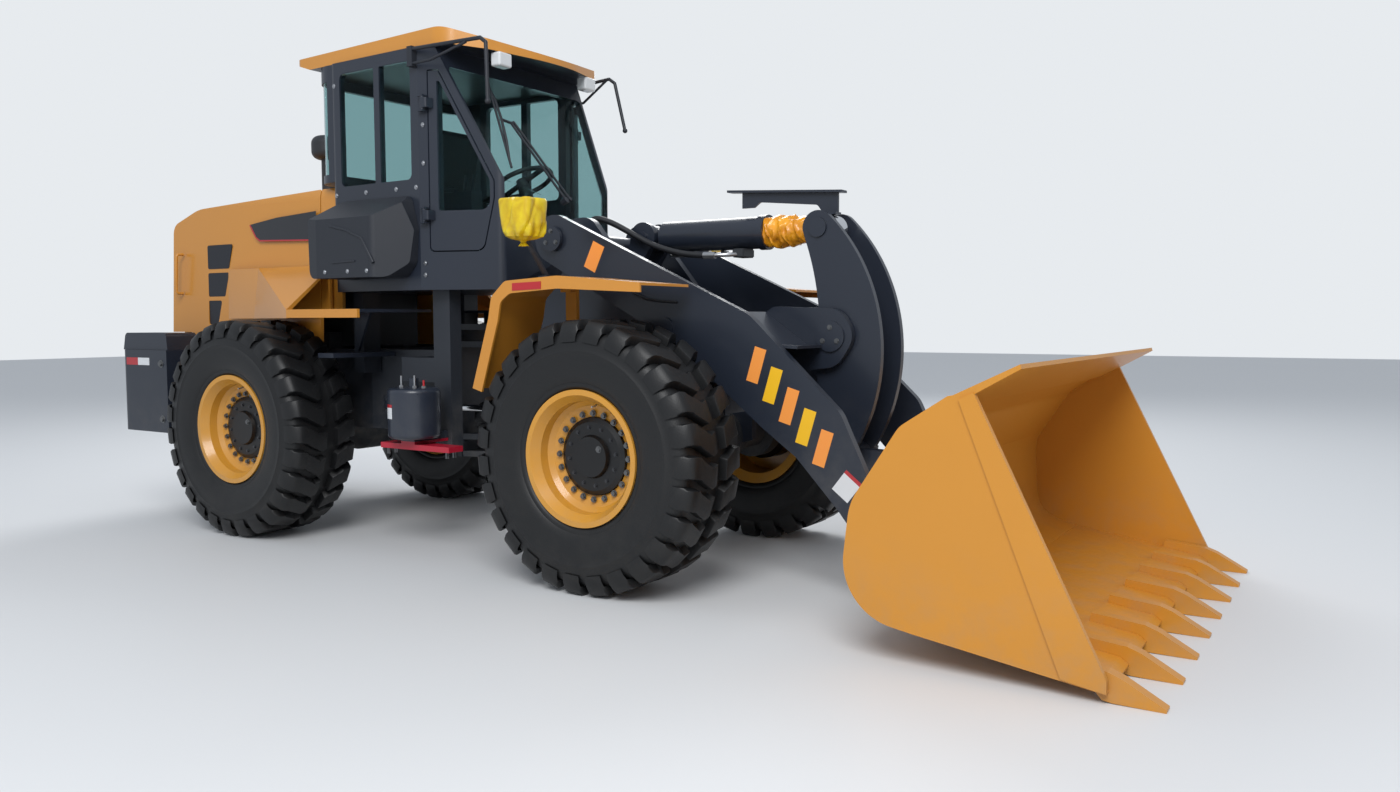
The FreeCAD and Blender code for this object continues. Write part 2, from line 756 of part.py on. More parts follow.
# Bellcrank: two plates joined by the pivot's hub and by the lower pin
def bellcrank():
    low = crank_inner_y
    high = low + crank_plate
    tx, tz = crank_top_pin
    bx, bz = crank_low_pin
    r = crank_eye_radius
    y = low
    front = Part.Arc(FreeCAD.Vector(tx + 62, y, tz + 72), FreeCAD.Vector(2815, y, 1460), FreeCAD.Vector(bx + 85, y, bz + 42))
    foot = Part.Arc(FreeCAD.Vector(bx + 85, y, bz + 42), FreeCAD.Vector(bx + 20, y, bz - r), FreeCAD.Vector(bx - r, y, bz + 5))
    back_low = Part.LineSegment(FreeCAD.Vector(bx - r, y, bz + 5), FreeCAD.Vector(2440, y, 1180))
    back_mid = Part.Arc(FreeCAD.Vector(2440, y, 1180), FreeCAD.Vector(2448, y, 1560), FreeCAD.Vector(2385, y, 1870))
    back_top = Part.LineSegment(FreeCAD.Vector(2385, y, 1870), FreeCAD.Vector(tx - r + 2, y, tz - 15))
    head = Part.Arc(FreeCAD.Vector(tx - r + 2, y, tz - 15), FreeCAD.Vector(tx - 30, y, tz + r - 5), FreeCAD.Vector(tx + 62, y, tz + 72))
    wire = Part.Wire([edge.toShape() for edge in (front, foot, back_low, back_mid, back_top, head)])
    plate = Part.Face(wire).extrude(FreeCAD.Vector(0, crank_plate, 0))
    head_boss = cylinder_y(crank_top_pin, 55, high - 1, high + 12)
    foot_boss = cylinder_y(crank_low_pin, 50, high - 1, high + 8)
    pieces = pair(fuse([plate, head_boss, foot_boss]))
    pieces.append(cylinder_y(crank_pivot, crank_hub_radius, -high, high))
    whole = fuse(pieces)
    whole = whole.cut(cylinder_y(crank_pivot, main_pin_radius + pin_clearance, -high - 1, high + 1))
    return whole


def bucket_link():
    way = direction(crank_low_pin, link_pin)
    across = (-way[1] * link_depth / 2, way[0] * link_depth / 2)
    a, b = crank_low_pin, link_pin
    bar = side_plate([(a[0] + across[0], a[1] + across[1]), (b[0] + across[0], b[1] + across[1]),
                      (b[0] - across[0], b[1] - across[1]), (a[0] - across[0], a[1] - across[1])],
                     -link_half_width, link_half_width)
    hub = crank_inner_y - 6
    pieces = [bar, cylinder_y(a, link_eye_radius, -hub, hub),
              cylinder_y(b, link_eye_radius, -link_half_width, link_half_width)]
    whole = fuse(pieces)
    whole = whole.cut(cylinder_y(a, small_pin_radius + pin_clearance, -hub - 1, hub + 1))
    return whole.cut(cylinder_y(b, small_pin_radius + pin_clearance, -hub, hub))


# Bucket
def lip_point(s, h):
    # s runs forward along the floor from the lip, h stands up from the floor
    slope = math.radians(bucket_floor_slope)
    return (bucket_lip_x + math.cos(slope) * s + math.sin(slope) * h,
            bucket_lip_z - math.sin(slope) * s + math.cos(slope) * h)


def bucket_side_outline(inset, end):
    top, bend, middle, low, floor = (bucket_back_top, bucket_back_bend, bucket_back_middle, bucket_back_low,
                                     bucket_floor_start)
    return [(top[0] + inset, top[1] - inset), (bend[0] + inset, bend[1] - inset, 120),
            (middle[0] + inset, middle[1] - inset, 260), (low[0] + inset, low[1] + inset, 270 - inset),
            (floor[0], floor[1] + inset, 100), lip_point(end, inset)]


def bucket():
    t = bucket_shell
    half = bucket_half_width - bucket_edge_strip
    floor_end = -lip_plate_depth + 30
    outer = bucket_side_outline(0, floor_end)
    inner = bucket_side_outline(t, floor_end)
    top = bucket_back_top
    inner[0] = (top[0] + t, top[1] - t / 2)
    shell = side_plate(outer + inner[::-1], -half, half)
    guard = side_plate([(top[0] - 40, guard_rear_z[1]), guard_tip, (guard_tip[0] + 5, guard_tip[1] - guard_plate),
                        (top[0], guard_rear_z[0])], -half, half)
    side_top = bucket_side_top
    nose = (bucket_lip_x, bucket_side_nose_z)
    side = side_plate(bucket_side_outline(0, 0) + [nose, side_top], half - bucket_side_plate, half)
    strip = side_plate([(side_top[0] - 63, side_top[1] - 30), side_top, nose, (bucket_lip_x, bucket_lip_z + 5),
                        (bucket_lip_x - 173, bucket_lip_z + 35)], half - 1, bucket_half_width)
    back = -lip_plate_depth
    edge = side_plate([lip_point(back, 0), lip_point(0, 0), lip_point(0, lip_edge), lip_point(-lip_bevel, lip_plate),
                       lip_point(back, lip_plate)], -half, half)
    pieces = [shell, guard, edge] + pair(fuse([side, strip]))
    # ears that hold the boom's noses, with the pins
    arm_low = boom_outer_y - boom_plate - 15
    arm_high = boom_outer_y + 15
    x, z = bucket_pivot
    r = bucket_ear_radius
    ear_outline = [(x - r * 0.7, z + r * 0.72, 60), (3235, 760), (3260, 330), (x - 10, z - r, 90), (x - r, z - 20, 60)]
    for low in (arm_low - bucket_ear_inner_gap - bucket_ear_plate, arm_high + bucket_ear_inner_gap):
        pieces += pair(side_plate(ear_outline, low, low + bucket_ear_plate))
    pin_low = arm_low - bucket_ear_inner_gap - bucket_ear_plate - 8
    pin_high = arm_high + bucket_ear_inner_gap + bucket_ear_plate + 8
    pieces += pair(cylinder_y(bucket_pivot, bucket_pin_radius, pin_low, pin_high))
    # ears of the link
    low = link_half_width + link_ear_gap
    x, z = link_pin
    r = link_ear_radius
    link_ear = side_plate([(x - r, z + r, 70), (3250, 830), (3230, 520), (x - r, z - r, 70)],
                          low, low + link_ear_plate)
    cap = cylinder_y(link_pin, small_pin_radius + 15, low + link_ear_plate - 1, low + link_ear_plate + 8)
    pieces += pair(fuse([link_ear, cap]))
    pieces.append(cylinder_y(link_pin, small_pin_radius, -low - 1, low + 1))
    return fuse(pieces)


def tooth(y):
    gap = seat_gap
    profile = [lip_point(-250, lip_plate + gap), lip_point(-250, lip_plate + 38), lip_point(-20, 82),
               lip_point(40, 70), lip_point(tooth_reach, 4), lip_point(tooth_reach, -8), lip_point(20, -34),
               lip_point(-20, -34), lip_point(-60, -gap), lip_point(gap, -gap),
               lip_point(gap, lip_edge + gap), lip_point(-lip_bevel + gap, lip_plate + gap)]
    return side_plate(profile, y - tooth_width / 2, y + tooth_width / 2)


def teeth():
    reach = bucket_half_width - bucket_edge_strip - bucket_side_plate - swing_gap - tooth_width / 2
    pitch = 2 * reach / (tooth_count - 1)
    return [tooth(-reach + i * pitch) for i in range(tooth_count)]


# Cylinders. A tube is hinged at its base pin and its rod slides along the line to the far pin.
def cylinder_tube(base, tip, y, radius, length, rod_radius, eye_radius, eye_half, pin_radius):
    neck_start = beyond(base, tip, eye_radius * 0.6)
    tube_start = beyond(base, tip, eye_radius + neck_length)
    end = beyond(base, tip, length)
    neck = rod_between(at_y(neck_start, y), at_y(tube_start, y), eye_half - 1)
    tube = rod_between(at_y(tube_start, y), at_y(end, y), radius)
    collar = rod_between(at_y(beyond(base, tip, length - collar_length), y), at_y(end, y), radius + collar_step)
    eye = cylinder_y(base, eye_radius, y - eye_half, y + eye_half)
    bore_start = beyond(base, tip, eye_radius + neck_length + cylinder_end_wall)
    bore_end = beyond(base, tip, length - collar_length - cylinder_end_wall)
    mouth_end = beyond(base, tip, length + 1)
    whole = fuse([tube, neck, collar, eye])
    whole = whole.cut(rod_between(at_y(bore_start, y), at_y(bore_end, y), radius - cylinder_wall))
    whole = whole.cut(rod_between(at_y(bore_start, y), at_y(mouth_end, y), rod_radius + pin_clearance))
    return whole.cut(cylinder_y(base, pin_radius + pin_clearance, y - eye_half - 1, y + eye_half + 1))


def cylinder_rod(base, tip, y, radius, start_reach, eye_radius, eye_half, pin_radius):
    # start_reach is how far the rod's inner end lies from the base pin
    total = distance(base, tip)
    start = beyond(base, tip, start_reach)
    end = beyond(base, tip, total - eye_radius * 0.6)
    rod = rod_between(at_y(start, y), at_y(end, y), radius)
    eye = cylinder_y(tip, eye_radius, y - eye_half, y + eye_half)
    whole = fuse([rod, eye])
    if pin_radius:
        whole = whole.cut(cylinder_y(tip, pin_radius + pin_clearance, y - eye_half - 1, y + eye_half + 1))
    return whole


def save_cylinders():
    tube = cylinder_tube(tilt_base_pin, crank_top_pin, 0, tilt_tube_radius, tilt_tube_length, tilt_rod_radius,
                         tilt_eye_radius, tilt_eye_half_width, small_pin_radius)
    save("tilt_tube", [tube])
    rod = cylinder_rod(tilt_base_pin, crank_top_pin, 0, tilt_rod_radius, tilt_rod_start, tilt_eye_radius,
                       tilt_eye_half_width, small_pin_radius)
    save("tilt_rod", [rod])
    save("level_bar", [level_bar()])
    save("rod_wrap", [rod_wrap()])
    tube = cylinder_tube(lift_base_pin, lift_boom_pin, -lift_centre_y, lift_tube_radius, lift_tube_length,
                         lift_rod_radius, lift_eye_radius, lift_eye_half_width, small_pin_radius)
    save("lift_tubes", pair(tube))
    rod = cylinder_rod(lift_base_pin, lift_boom_pin, -lift_centre_y, lift_rod_radius, lift_rod_start,
                       lift_eye_radius, lift_eye_half_width, small_pin_radius)
    save("lift_rods", pair(rod))
    for name, side in sides.items():
        save("steer_tube_" + name, [steer_tube(side)])
        save("steer_rod_" + name, [steer_rod(side)])


def level_bar():
    # a flat bar on a web, standing on the tilt rod's eye, with a hanger at its rear end
    (ax, az), (bx, bz) = level_bar_rear, level_bar_front
    t = level_bar_plate
    top = side_plate([(ax, az), (bx, bz), (bx, bz - t), (ax, az - t)], -level_bar_half_width, level_bar_half_width)

    def under(x):
        return az + (bz - az) * (x - ax) / (bx - ax) - t + 1

    post_rear, post_front = level_bar_post
    rear, front = level_bar_hanger
    seat = crank_top_pin[1] + tilt_eye_radius + seat_gap
    web = side_plate([(rear, under(rear)), (post_front, under(post_front)), (post_front, seat), (post_rear, seat),
                      (post_rear - 45, seat + 62, 30), (front + 40, level_bar_hanger_z + 30, 30),
                      (front, level_bar_hanger_z), (rear, level_bar_hanger_z)], -level_bar_web / 2, level_bar_web / 2)
    foot = box(post_rear, post_front, -level_bar_half_width, level_bar_half_width, seat, seat + t)
    return fuse([top, web, foot])


def rod_wrap():
    # a sleeve of film round the rod, against the tube's collar
    start = beyond(tilt_base_pin, crank_top_pin, tilt_tube_length + seat_gap)
    end = beyond(tilt_base_pin, crank_top_pin, tilt_tube_length + seat_gap + rod_wrap_length)
    sleeve = rod_between(at_y(start, 0), at_y(end, 0), rod_wrap_radius)
    return sleeve.cut(rod_between(at_y(tilt_base_pin, 0), at_y(crank_top_pin, 0), tilt_rod_radius + pin_clearance))


def steer_tube(side):
    # built lying along x in side view, then laid flat
    length = distance(steer_base, steer_tip)
    shape = cylinder_tube((0, 0), (length, 0), 0, steer_tube_radius, steer_tube_length, steer_rod_radius,
                          steer_eye_radius, steer_eye_half_width, steer_pin_radius)
    return laid_flat(shape, side)


def steer_rod(side):
    length = distance(steer_base, steer_tip)
    shape = cylinder_rod((0, 0), (length, 0), 0, steer_rod_radius, steer_rod_start,
                         steer_eye_radius, steer_eye_half_width, 0)
    return laid_flat(shape, side)


def laid_flat(shape, side):
    flat = shape.copy()
    flat.rotate(FreeCAD.Vector(0, 0, 0), FreeCAD.Vector(1, 0, 0), 90)
    turn = math.degrees(math.atan2(steer_tip[1] - steer_base[1], steer_tip[0] - steer_base[0]))
    flat.rotate(FreeCAD.Vector(0, 0, 0), FreeCAD.Vector(0, 0, 1), turn)
    flat.translate(FreeCAD.Vector(steer_base[0], steer_base[1], steer_z))
    return flat if side > 0 else mirrored(flat)


# Rear frame
def rear_frame():
    rail = plan_plate([(rail_rear_x, rail_outer_y), (rail_bend_x, rail_outer_y), (rail_front_x, rail_front_half_width),
                       (rail_front_x, rail_front_half_width - rail_plate), (rail_bend_x, rail_outer_y - rail_plate),
                       (rail_rear_x, rail_outer_y - rail_plate)], rail_low_z, rail_high_z)
    rail = rail.cut(cylinder_y((axle_x["rear"], tyre_radius), axle_pad_radius + seat_gap, 0, rail_outer_y + 1))
    pieces = pair(rail)
    half = rail_front_half_width
    low, high = hinge_levels
    fork_low = low - hinge_lug_plate / 2 - hinge_fork_gap - hinge_fork_plate
    fork_high = high + hinge_lug_plate / 2 + hinge_fork_gap + hinge_fork_plate
    web = box(rail_front_x, rail_front_x + rail_plate, -half, half, fork_low, fork_high)
    web = web.cut(rod_between((rail_front_x - 1, 0, shaft_z), (rail_front_x + rail_plate + 1, 0, shaft_z), 110))
    pieces.append(web)
    for level in hinge_levels:
        offset = hinge_lug_plate / 2 + hinge_fork_gap
        for base in (level - offset - hinge_fork_plate, level + offset):
            outline = [(rail_front_x + 10, -half), (rail_front_x + 10, half),
                       (hinge_lug_radius, hinge_lug_radius, hinge_lug_radius - 1),
                       (hinge_lug_radius, -hinge_lug_radius, hinge_lug_radius - 1)]
            pieces.append(plan_plate(outline, base, base + hinge_fork_plate))
        reach = offset + hinge_fork_plate
        pieces.append(cylinder_z(0, 0, hinge_pin_radius, level - reach - 15, level + reach + 15))
    # cross members between the rails, and outriggers that carry cab, tanks and walkway
    inner = rail_outer_y - rail_plate
    for x in (-2860.0, -2050.0, -1120.0):
        pieces.append(box(x, x + 40, -inner, inner, 900, rail_high_z))
    width, depth = post_size
    post = box(post_x - width / 2, post_x + width / 2, post_y - depth / 2, post_y + depth / 2,
               post_low_z, cab_low_z - seat_gap)
    tie = box(rail_front_x - 120, rail_front_x - 40, rail_front_half_width - 20, post_y - depth / 2 + 5, 1080, 1240)
    beam = box(rail_front_x - 120, post_x - width / 2 + 5, post_y - depth / 2, post_y + depth / 2, 1080, 1240)
    rear_post = box(-960, -860, rail_outer_y - 5, 560, 1120, cab_low_z - seat_gap)
    pieces += pair(fuse([post, tie, beam])) + pair(rear_post)
    for base in (steer_z - steer_eye_half_width - 5 - steer_lug_plate, steer_z + steer_eye_half_width + 5):
        sx, sy = steer_base
        lug = plan_plate([(sx - 80, 370), (sx + 55, 340), (sx + steer_lug_radius - 2, sy), (sx - steer_lug_radius + 2, sy)],
                         base, base + steer_lug_plate)
        head = cylinder_z(sx, sy, steer_lug_radius, base, base + steer_lug_plate)
        pieces += pair(fuse([lug, head]))
    stub = steer_eye_half_width + 5 + steer_lug_plate
    pieces += pair(cylinder_z(steer_base[0], steer_base[1], steer_pin_radius, steer_z - stub, steer_z + stub))
    return fuse(pieces)


def counterweight():
    c = weight_corner
    plan = [(weight_front_x, -weight_half_width), (weight_front_x, weight_half_width),
            (weight_rear_x + c, weight_half_width, 60), (weight_rear_x, weight_half_width - c * 1.6, 60),
            (weight_rear_x, -weight_half_width + c * 1.6, 60), (weight_rear_x + c, -weight_half_width, 60)]
    block = plan_plate(plan, weight_low_z, weight_high_z)
    side = side_plate([(weight_front_x, weight_low_z), (weight_front_x, weight_high_z),
                       (weight_rear_x, weight_high_z), (weight_rear_x, weight_low_z + weight_chamfer),
                       (weight_rear_x + weight_chamfer * 0.8, weight_low_z)], -weight_half_width, weight_half_width)
    block = block.common(side)
    # the rails run into two slots
    slot_rear = rail_rear_x - seat_gap
    for side_sign in (1, -1):
        low, high = sorted((side_sign * (rail_outer_y - rail_plate - seat_gap), side_sign * (rail_outer_y + seat_gap)))
        block = block.cut(box(slot_rear, weight_front_x + 1, low, high, weight_low_z - 1, rail_high_z + seat_gap))
    inner = rail_outer_y - rail_plate
    block = block.cut(box(slot_rear, weight_front_x + 1, -inner, inner, weight_low_z + 150, weight_high_z + 1))
    block = block.cut(box(weight_rear_x - 1, weight_rear_x + tow_slot_depth, -tow_slot_half_width, tow_slot_half_width,
                          weight_low_z - 1, weight_high_z + 1))
    for base in (hitch_z - hitch_jaw_gap / 2 - hitch_jaw_plate, hitch_z + hitch_jaw_gap / 2):
        jaw = plan_plate([(weight_rear_x + 150, -90), (weight_rear_x + 150, 90),
                          (weight_rear_x - hitch_jaw_reach, 60, 50), (weight_rear_x - hitch_jaw_reach, -60, 50)],
                         base, base + hitch_jaw_plate)
        block = block.fuse(jaw)
    block = block.cut(cylinder_z(weight_rear_x - 10, 0, hitch_pin_radius, hitch_z - 90, hitch_z + 90))
    # lugs and pins of the hood's hinge
    hx, hz = hood_hinge
    first = hood_arm_inner_y - hood_lug_gap - hood_lug_plate
    second = hood_arm_inner_y + hood_arm_plate + hood_lug_gap
    lugs = []
    for low in (first, second):
        plate = side_plate([(hx - 30, weight_high_z - 5), (hx - 24, hz + 24, 22), (hx + 24, hz + 24, 22),
                            (hx + 60, weight_high_z - 5)], low, low + hood_lug_plate)
        lugs += pair(plate)
    lugs += pair(cylinder_y(hood_hinge, hood_pin_radius, first, second + hood_lug_plate))
    return fuse([block] + lugs)


# Hood
def hood_section(grow, x0, x1):
    half = hood_half_width - grow
    r = hood_edge_radius - grow
    top = hood_front_top_z + 60
    wire = rounded_wire([(-half, hood_low_z - 1), (half, hood_low_z - 1), (half - 30, top, r), (-half + 30, top, r)],
                        lambda p: FreeCAD.Vector(x0, p.x, p.y))
    return Part.Face(wire).extrude(FreeCAD.Vector(x1 - x0, 0, 0))


def hood():
    rear, front = hood_rear_x, hood_front_x
    t = hood_wall
    profile = [(front, hood_low_z), (front, hood_front_top_z, 20), (rear + 350, hood_rear_top_z + 110, 500),
               (rear + 20, hood_rear_top_z, 90), (rear, hood_rear_low_z), (hood_step_x, hood_rear_low_z, 30),
               (hood_step_x, hood_low_z)]
    inner_profile = [(front + 1, hood_low_z - 1), (front + 1, hood_front_top_z - t, 20),
                     (rear + 350 + t, hood_rear_top_z + 110 - t, 500),
                     (rear + 20 + t, hood_rear_top_z - t, 90), (rear + t, hood_low_z - 1)]
    outer = side_plate(profile, -hood_half_width, hood_half_width).common(hood_section(0, rear, front))
    inner = side_plate(inner_profile, -hood_half_width, hood_half_width).common(hood_section(t, rear, front + 1))
    shell = outer.cut(inner)
    # room for the three side louvres and for the rear grille
    for row in louvre_rows:
        shell = shell.cut(fuse(pair(side_plate(louvre_outline(row), hood_half_width - 60, hood_half_width + 1))))
    shell = shell.cut(box(rear - 1, rear + 60, -grille_half_width, grille_half_width, grille_low_z, grille_high_z))
    hx, hz = hood_hinge
    low = hood_arm_inner_y
    high = low + hood_arm_plate
    arm = side_plate([(hx - 25, hz + 45), (hx - 25, hz - 25, 24), (hx + 25, hz - 25, 24), (hx + 25, hz + 75)], low, high)
    arm = arm.cut(cylinder_y(hood_hinge, hood_pin_radius + pin_clearance, low - 1, high + 1))
    wall = box(hx - 25, hx + 25, low, hood_half_width - 10, hz + 45, hz + 75)
    return fuse([shell] + pair(fuse([arm, wall])))


def louvre_outline(row):
    # an opening whose front edge leans
    low, high, front = row
    r = louvre_corner
    return [(louvre_rear_x, low, r), (louvre_rear_x, high, r), (front, high, r), (front - louvre_lean, low, r)]


# louvre rows: low z, high z, front x
louvre_lean = 50.0
louvre_corner = 16.0
louvre_rear_x = -2500.0
louvre_rows = ((1880.0, 2060.0, -2190.0), (1670.0, 1850.0, -2240.0), (1460.0, 1640.0, -2330.0))
grille_half_width = 520.0
grille_low_z = 1480.0
grille_high_z = 2120.0
slat_count = 9


def hood_louvres():
    pieces = []
    t = hood_wall
    for row in louvre_rows:
        low = hood_half_width - t - 8
        high = hood_half_width - 12
        pieces += pair(side_plate(inset(louvre_outline(row), seat_gap), low, high))
    rear = hood_rear_x
    frame = box(rear + 14, rear + 30, -grille_half_width + seat_gap, grille_half_width - seat_gap,
                grille_low_z + seat_gap, grille_high_z - seat_gap)
    pitch = (grille_high_z - grille_low_z) / slat_count
    slats = []
    for i in range(slat_count):
        z = grille_low_z + pitch * (i + 0.5)
        slats.append(box(rear + 4, rear + 15, -grille_half_width + 20, grille_half_width - 20, z - 14, z + 14))
    pieces.append(fuse([frame] + slats))
    return pieces


def hood_cowl():
    # the fixed part of the hood's form between the hood and the cab, on the walkway's floor
    rear, front = hood_front_x + swing_gap, cab_rear_x - seat_gap
    t = hood_wall
    low = fender_outer_z + seat_gap
    top = hood_front_top_z
    outer = box(rear, front, -hood_half_width, hood_half_width, low, top).common(hood_section(0, rear, front))
    inner = box(rear - 1, front + 1, -hood_half_width, hood_half_width, low - 1, top - t)
    return outer.cut(inner.common(hood_section(t, rear - 1, front + 1)))


def rear_fender():
    # the flare grows out of the hood's side and ends in the yellow edge of the walkway
    inner = hood_half_width + swing_gap
    t = fender_plate
    full = fender_outer_y - inner

    def rib(x, reach, crease_z):
        crease, edge = inner + reach[0], inner + reach[1]
        points = [(inner, fender_top_z), (crease, crease_z), (edge, fender_arch_z), (edge - t, fender_arch_z),
                  (crease - t, crease_z - t), (inner, fender_top_z - t)]
        return Part.makePolygon([FreeCAD.Vector(x, y, z) for y, z in points + [points[0]]])

    ribs = [rib(fender_rear_x, fender_rear_reach, fender_top_z - 2), rib(fender_middle_x, fender_middle_reach, fender_top_z - 8),
            rib(fender_flare_x, (full, full), fender_outer_z)]
    flare = Part.makeLoft(ribs, True, True)
    bulkhead = box(fender_flare_x - 1, fender_flare_x + t, inner, fender_outer_y, fender_outer_z - t, fender_outer_z)
    edge = box(fender_flare_x - 1, walkway_front_x, fender_outer_y - t, fender_outer_y, fender_outer_z - walkway_edge, fender_outer_z)
    riser_points = [(inner, fender_outer_z - t), (inner, fender_top_z - t / 2), (inner + t, fender_top_z - t * 1.5),
                    (inner + t, fender_outer_z - t)]
    riser = front_plate(riser_points, fender_flare_x - t, fender_flare_x)
    return fuse([flare, bulkhead, edge, riser])


def front_plate(points, x0, x1):
    # an outline seen from the front, (y, z), as a plate between two x
    wire = rounded_wire(points, lambda p: FreeCAD.Vector(x0, p.x, p.y))
    return Part.Face(wire).extrude(FreeCAD.Vector(x1 - x0, 0, 0))


def side_deck():
    # the walkway's floor beside the cab, with its bracket on the rear post
    inner = hood_half_width + swing_gap
    t = fender_plate
    rear = fender_flare_x + t + seat_gap
    step = box(rear, walkway_front_x, rail_outer_y + seat_gap, fender_outer_y - t - seat_gap, fender_outer_z - t, fender_outer_z)
    floor = box(hood_front_x + swing_gap, rear + 10, rail_outer_y + seat_gap, inner - seat_gap, fender_outer_z - t, fender_outer_z)
    step = step.fuse(floor).cut(box(-965, -855, 0, 560 + seat_gap, 1000, 1700))
    bracket = box(-860 + seat_gap + 5, -700, rail_outer_y + seat_gap, fender_outer_y - 100, 1240, 1270)
    knee = side_plate([(-860 + 6, 1270), (-860 + 6, fender_outer_z - t), (-700, fender_outer_z - t), (-830, 1270)], 620, 640)
    return fuse([step, bracket, knee])


# Cab
def screen_x(z):
    # where the raked windscreen stands at a height
    return cab_brow_x + (cab_high_z - z) * (cab_front_x + cab_front_bow - cab_brow_x) / (cab_high_z - cab_knee_z)


def screen_z(x):
    return cab_high_z - (x - cab_brow_x) * (cab_high_z - cab_knee_z) / (cab_front_x + cab_front_bow - cab_brow_x)


def side_wall_y(x):
    # the side wall narrows forward of the door's post
    return cab_half_width - (x - cab_pillar_x) * (cab_half_width - cab_front_half_width) / (cab_front_x - cab_pillar_x)


def cab_volume(grow):
    g = grow
    bow = cab_front_x + cab_front_bow
    r = cab_corner_radius
    plan = [(cab_rear_x + g, -cab_rear_half_width + g, r), (cab_pillar_x, -cab_half_width + g, 0),
            (cab_front_x - g, -cab_front_half_width + g, r), (bow - g, 0, 700),
            (cab_front_x - g, cab_front_half_width - g, r), (cab_pillar_x, cab_half_width - g, 0),
            (cab_rear_x + g, cab_rear_half_width - g, r)]
    body = plan_plate(plan, cab_low_z + g, cab_high_z - g)
    side = side_plate([(cab_rear_x + g, cab_low_z + g), (cab_rear_x + g, cab_high_z - g), (cab_brow_x - g, cab_high_z - g),
                       (bow - g, cab_knee_z), (bow - g, cab_sill_z), (cab_front_x - g, cab_low_z + g)],
                      -cab_half_width, cab_half_width)
    # the glazed back stands out above the hood, with round corners
    back_front = cab_rear_x + cab_back_corner
    back_r = cab_back_corner - g
    half = cab_back_half_width - g
    back = plan_plate([(cab_back_x + g, -half, back_r), (back_front, -half), (back_front, half), (cab_back_x + g, half, back_r)],
                      cab_back_low_z + g, cab_high_z - g)
    return body.common(side).fuse(back)


# openings, as outlines (x, z) in the cab's side and (y, z) in its front
window_top_z = cab_high_z - window_top_drop
side_windows = [[(x0, window_low_z, r0), (x0, window_top_z, r0), (x1, window_top_z, r1), (x1, window_low_z, r1)]
                for x0, x1, r0, r1 in ((window_rear_x, window_bar[0], window_corner, 8.0),
                                       (window_bar[1], window_front_x, 8.0, window_corner))]
door_top_z = screen_z(door_rear_x + door_top_width + door_front_post)
door_opening = [(door_rear_x, door_low_z, 30.0), (door_rear_x, door_top_z, 12.0),
                (door_rear_x + door_top_width, door_top_z, 12.0),
                (door_front_x, screen_z(door_front_x + door_front_post), 60.0), (door_front_x, cab_knee_z, 120.0),
                (door_foot_x, door_low_z, 60.0)]
door_glass_rear_x = door_rear_x + door_rear_rail
door_glass_front_x = door_front_x - door_front_rail
door_glass_margin = door_front_post + door_front_rail
door_glass_top_z = screen_z(door_glass_rear_x + door_window_top_width + door_glass_margin)
door_window = [(door_glass_rear_x, door_window_low_z, 15.0), (door_glass_rear_x, door_glass_top_z, 6.0),
               (door_glass_rear_x + door_window_top_width, door_glass_top_z, 6.0),
               (door_glass_front_x, screen_z(door_glass_front_x + door_glass_margin), 50.0),
               (door_glass_front_x, door_window_low_z, 60.0)]
screen_corner_z = screen_z(cab_front_x)
screen_top_z = cab_high_z - screen_top_drop
screen_half_widths = (side_wall_y(cab_front_x) - screen_post, side_wall_y(screen_x(screen_top_z)) - screen_post)
screen_opening = [(-screen_half_widths[0], screen_low_z, 40.0), (-screen_half_widths[0], screen_corner_z, 80.0),
                  (-screen_half_widths[1], screen_top_z, 30.0), (screen_half_widths[1], screen_top_z, 30.0),
                  (screen_half_widths[0], screen_corner_z, 80.0), (screen_half_widths[0], screen_low_z, 40.0)]


def inset(points, amount):
    # a smaller outline, moved in from each straight side
    count = len(points)
    result = []
    for i in range(count):
        a = FreeCAD.Vector(points[i - 1][0], points[i - 1][1], 0)
        b = FreeCAD.Vector(points[i][0], points[i][1], 0)
        c = FreeCAD.Vector(points[(i + 1) % count][0], points[(i + 1) % count][1], 0)
        first = (b - a).normalize()
        second = (c - b).normalize()
        n1 = FreeCAD.Vector(first.y, -first.x, 0)
        n2 = FreeCAD.Vector(second.y, -second.x, 0)
        shift = (n1 + n2) * (amount / (1 + n1.dot(n2)))
        moved = b + shift
        result.append((moved.x, moved.y, max(points[i][2] - amount * 0.3, 5)))
    return result


def back_room(gap):
    # the part of the back's wall that is glass, on three sides
    return box(cab_back_x - 10, cab_rear_x - 40 - gap, -cab_half_width, cab_half_width, back_window_low_z + gap,
               cab_high_z - window_top_drop - 30 - gap)


def cab_shell():
    shell = cab_volume(0).cut(cab_volume(cab_wall))
    for outline in side_windows + [door_opening]:
        for low in (400, -800):
            shell = shell.cut(side_plate(outline, low, low + 400))
    shell = shell.cut(front_plate(screen_opening, cab_brow_x - 70, cab_front_x + 200))
    shell = shell.cut(back_room(0))
    shell = max(shell.Solids, key=lambda s: s.Volume)
    return fuse([shell] + pair(door_hinge_bracket()))


def door_hinge_levels():
    return (door_low_hinge_z, cab_high_z - door_high_hinge_drop)


def door_hinge_bracket():
    # two ears and a pin for each knuckle of the right door
    x, y = door_hinge_x, -door_hinge_y
    half = door_knuckle_height / 2
    pieces = []
    for level in door_hinge_levels():
        for low in (level - half - 11, level + half + 1):
            pieces.append(box(x - 35, x + door_knuckle_radius - 2, y - door_knuckle_radius + 2, -cab_half_width + 20,
                              low, low + 10).cut(cab_volume(5)))
        pieces.append(cylinder_z(x, y, door_pin_radius, level - half - 11, level + half + 11))
    return fuse(pieces)


def windscreen():
    skin = cab_volume(2).cut(cab_volume(2 + glass_plate))
    return skin.common(front_plate(inset(screen_opening, seat_gap), cab_brow_x - 70, cab_front_x + 200))


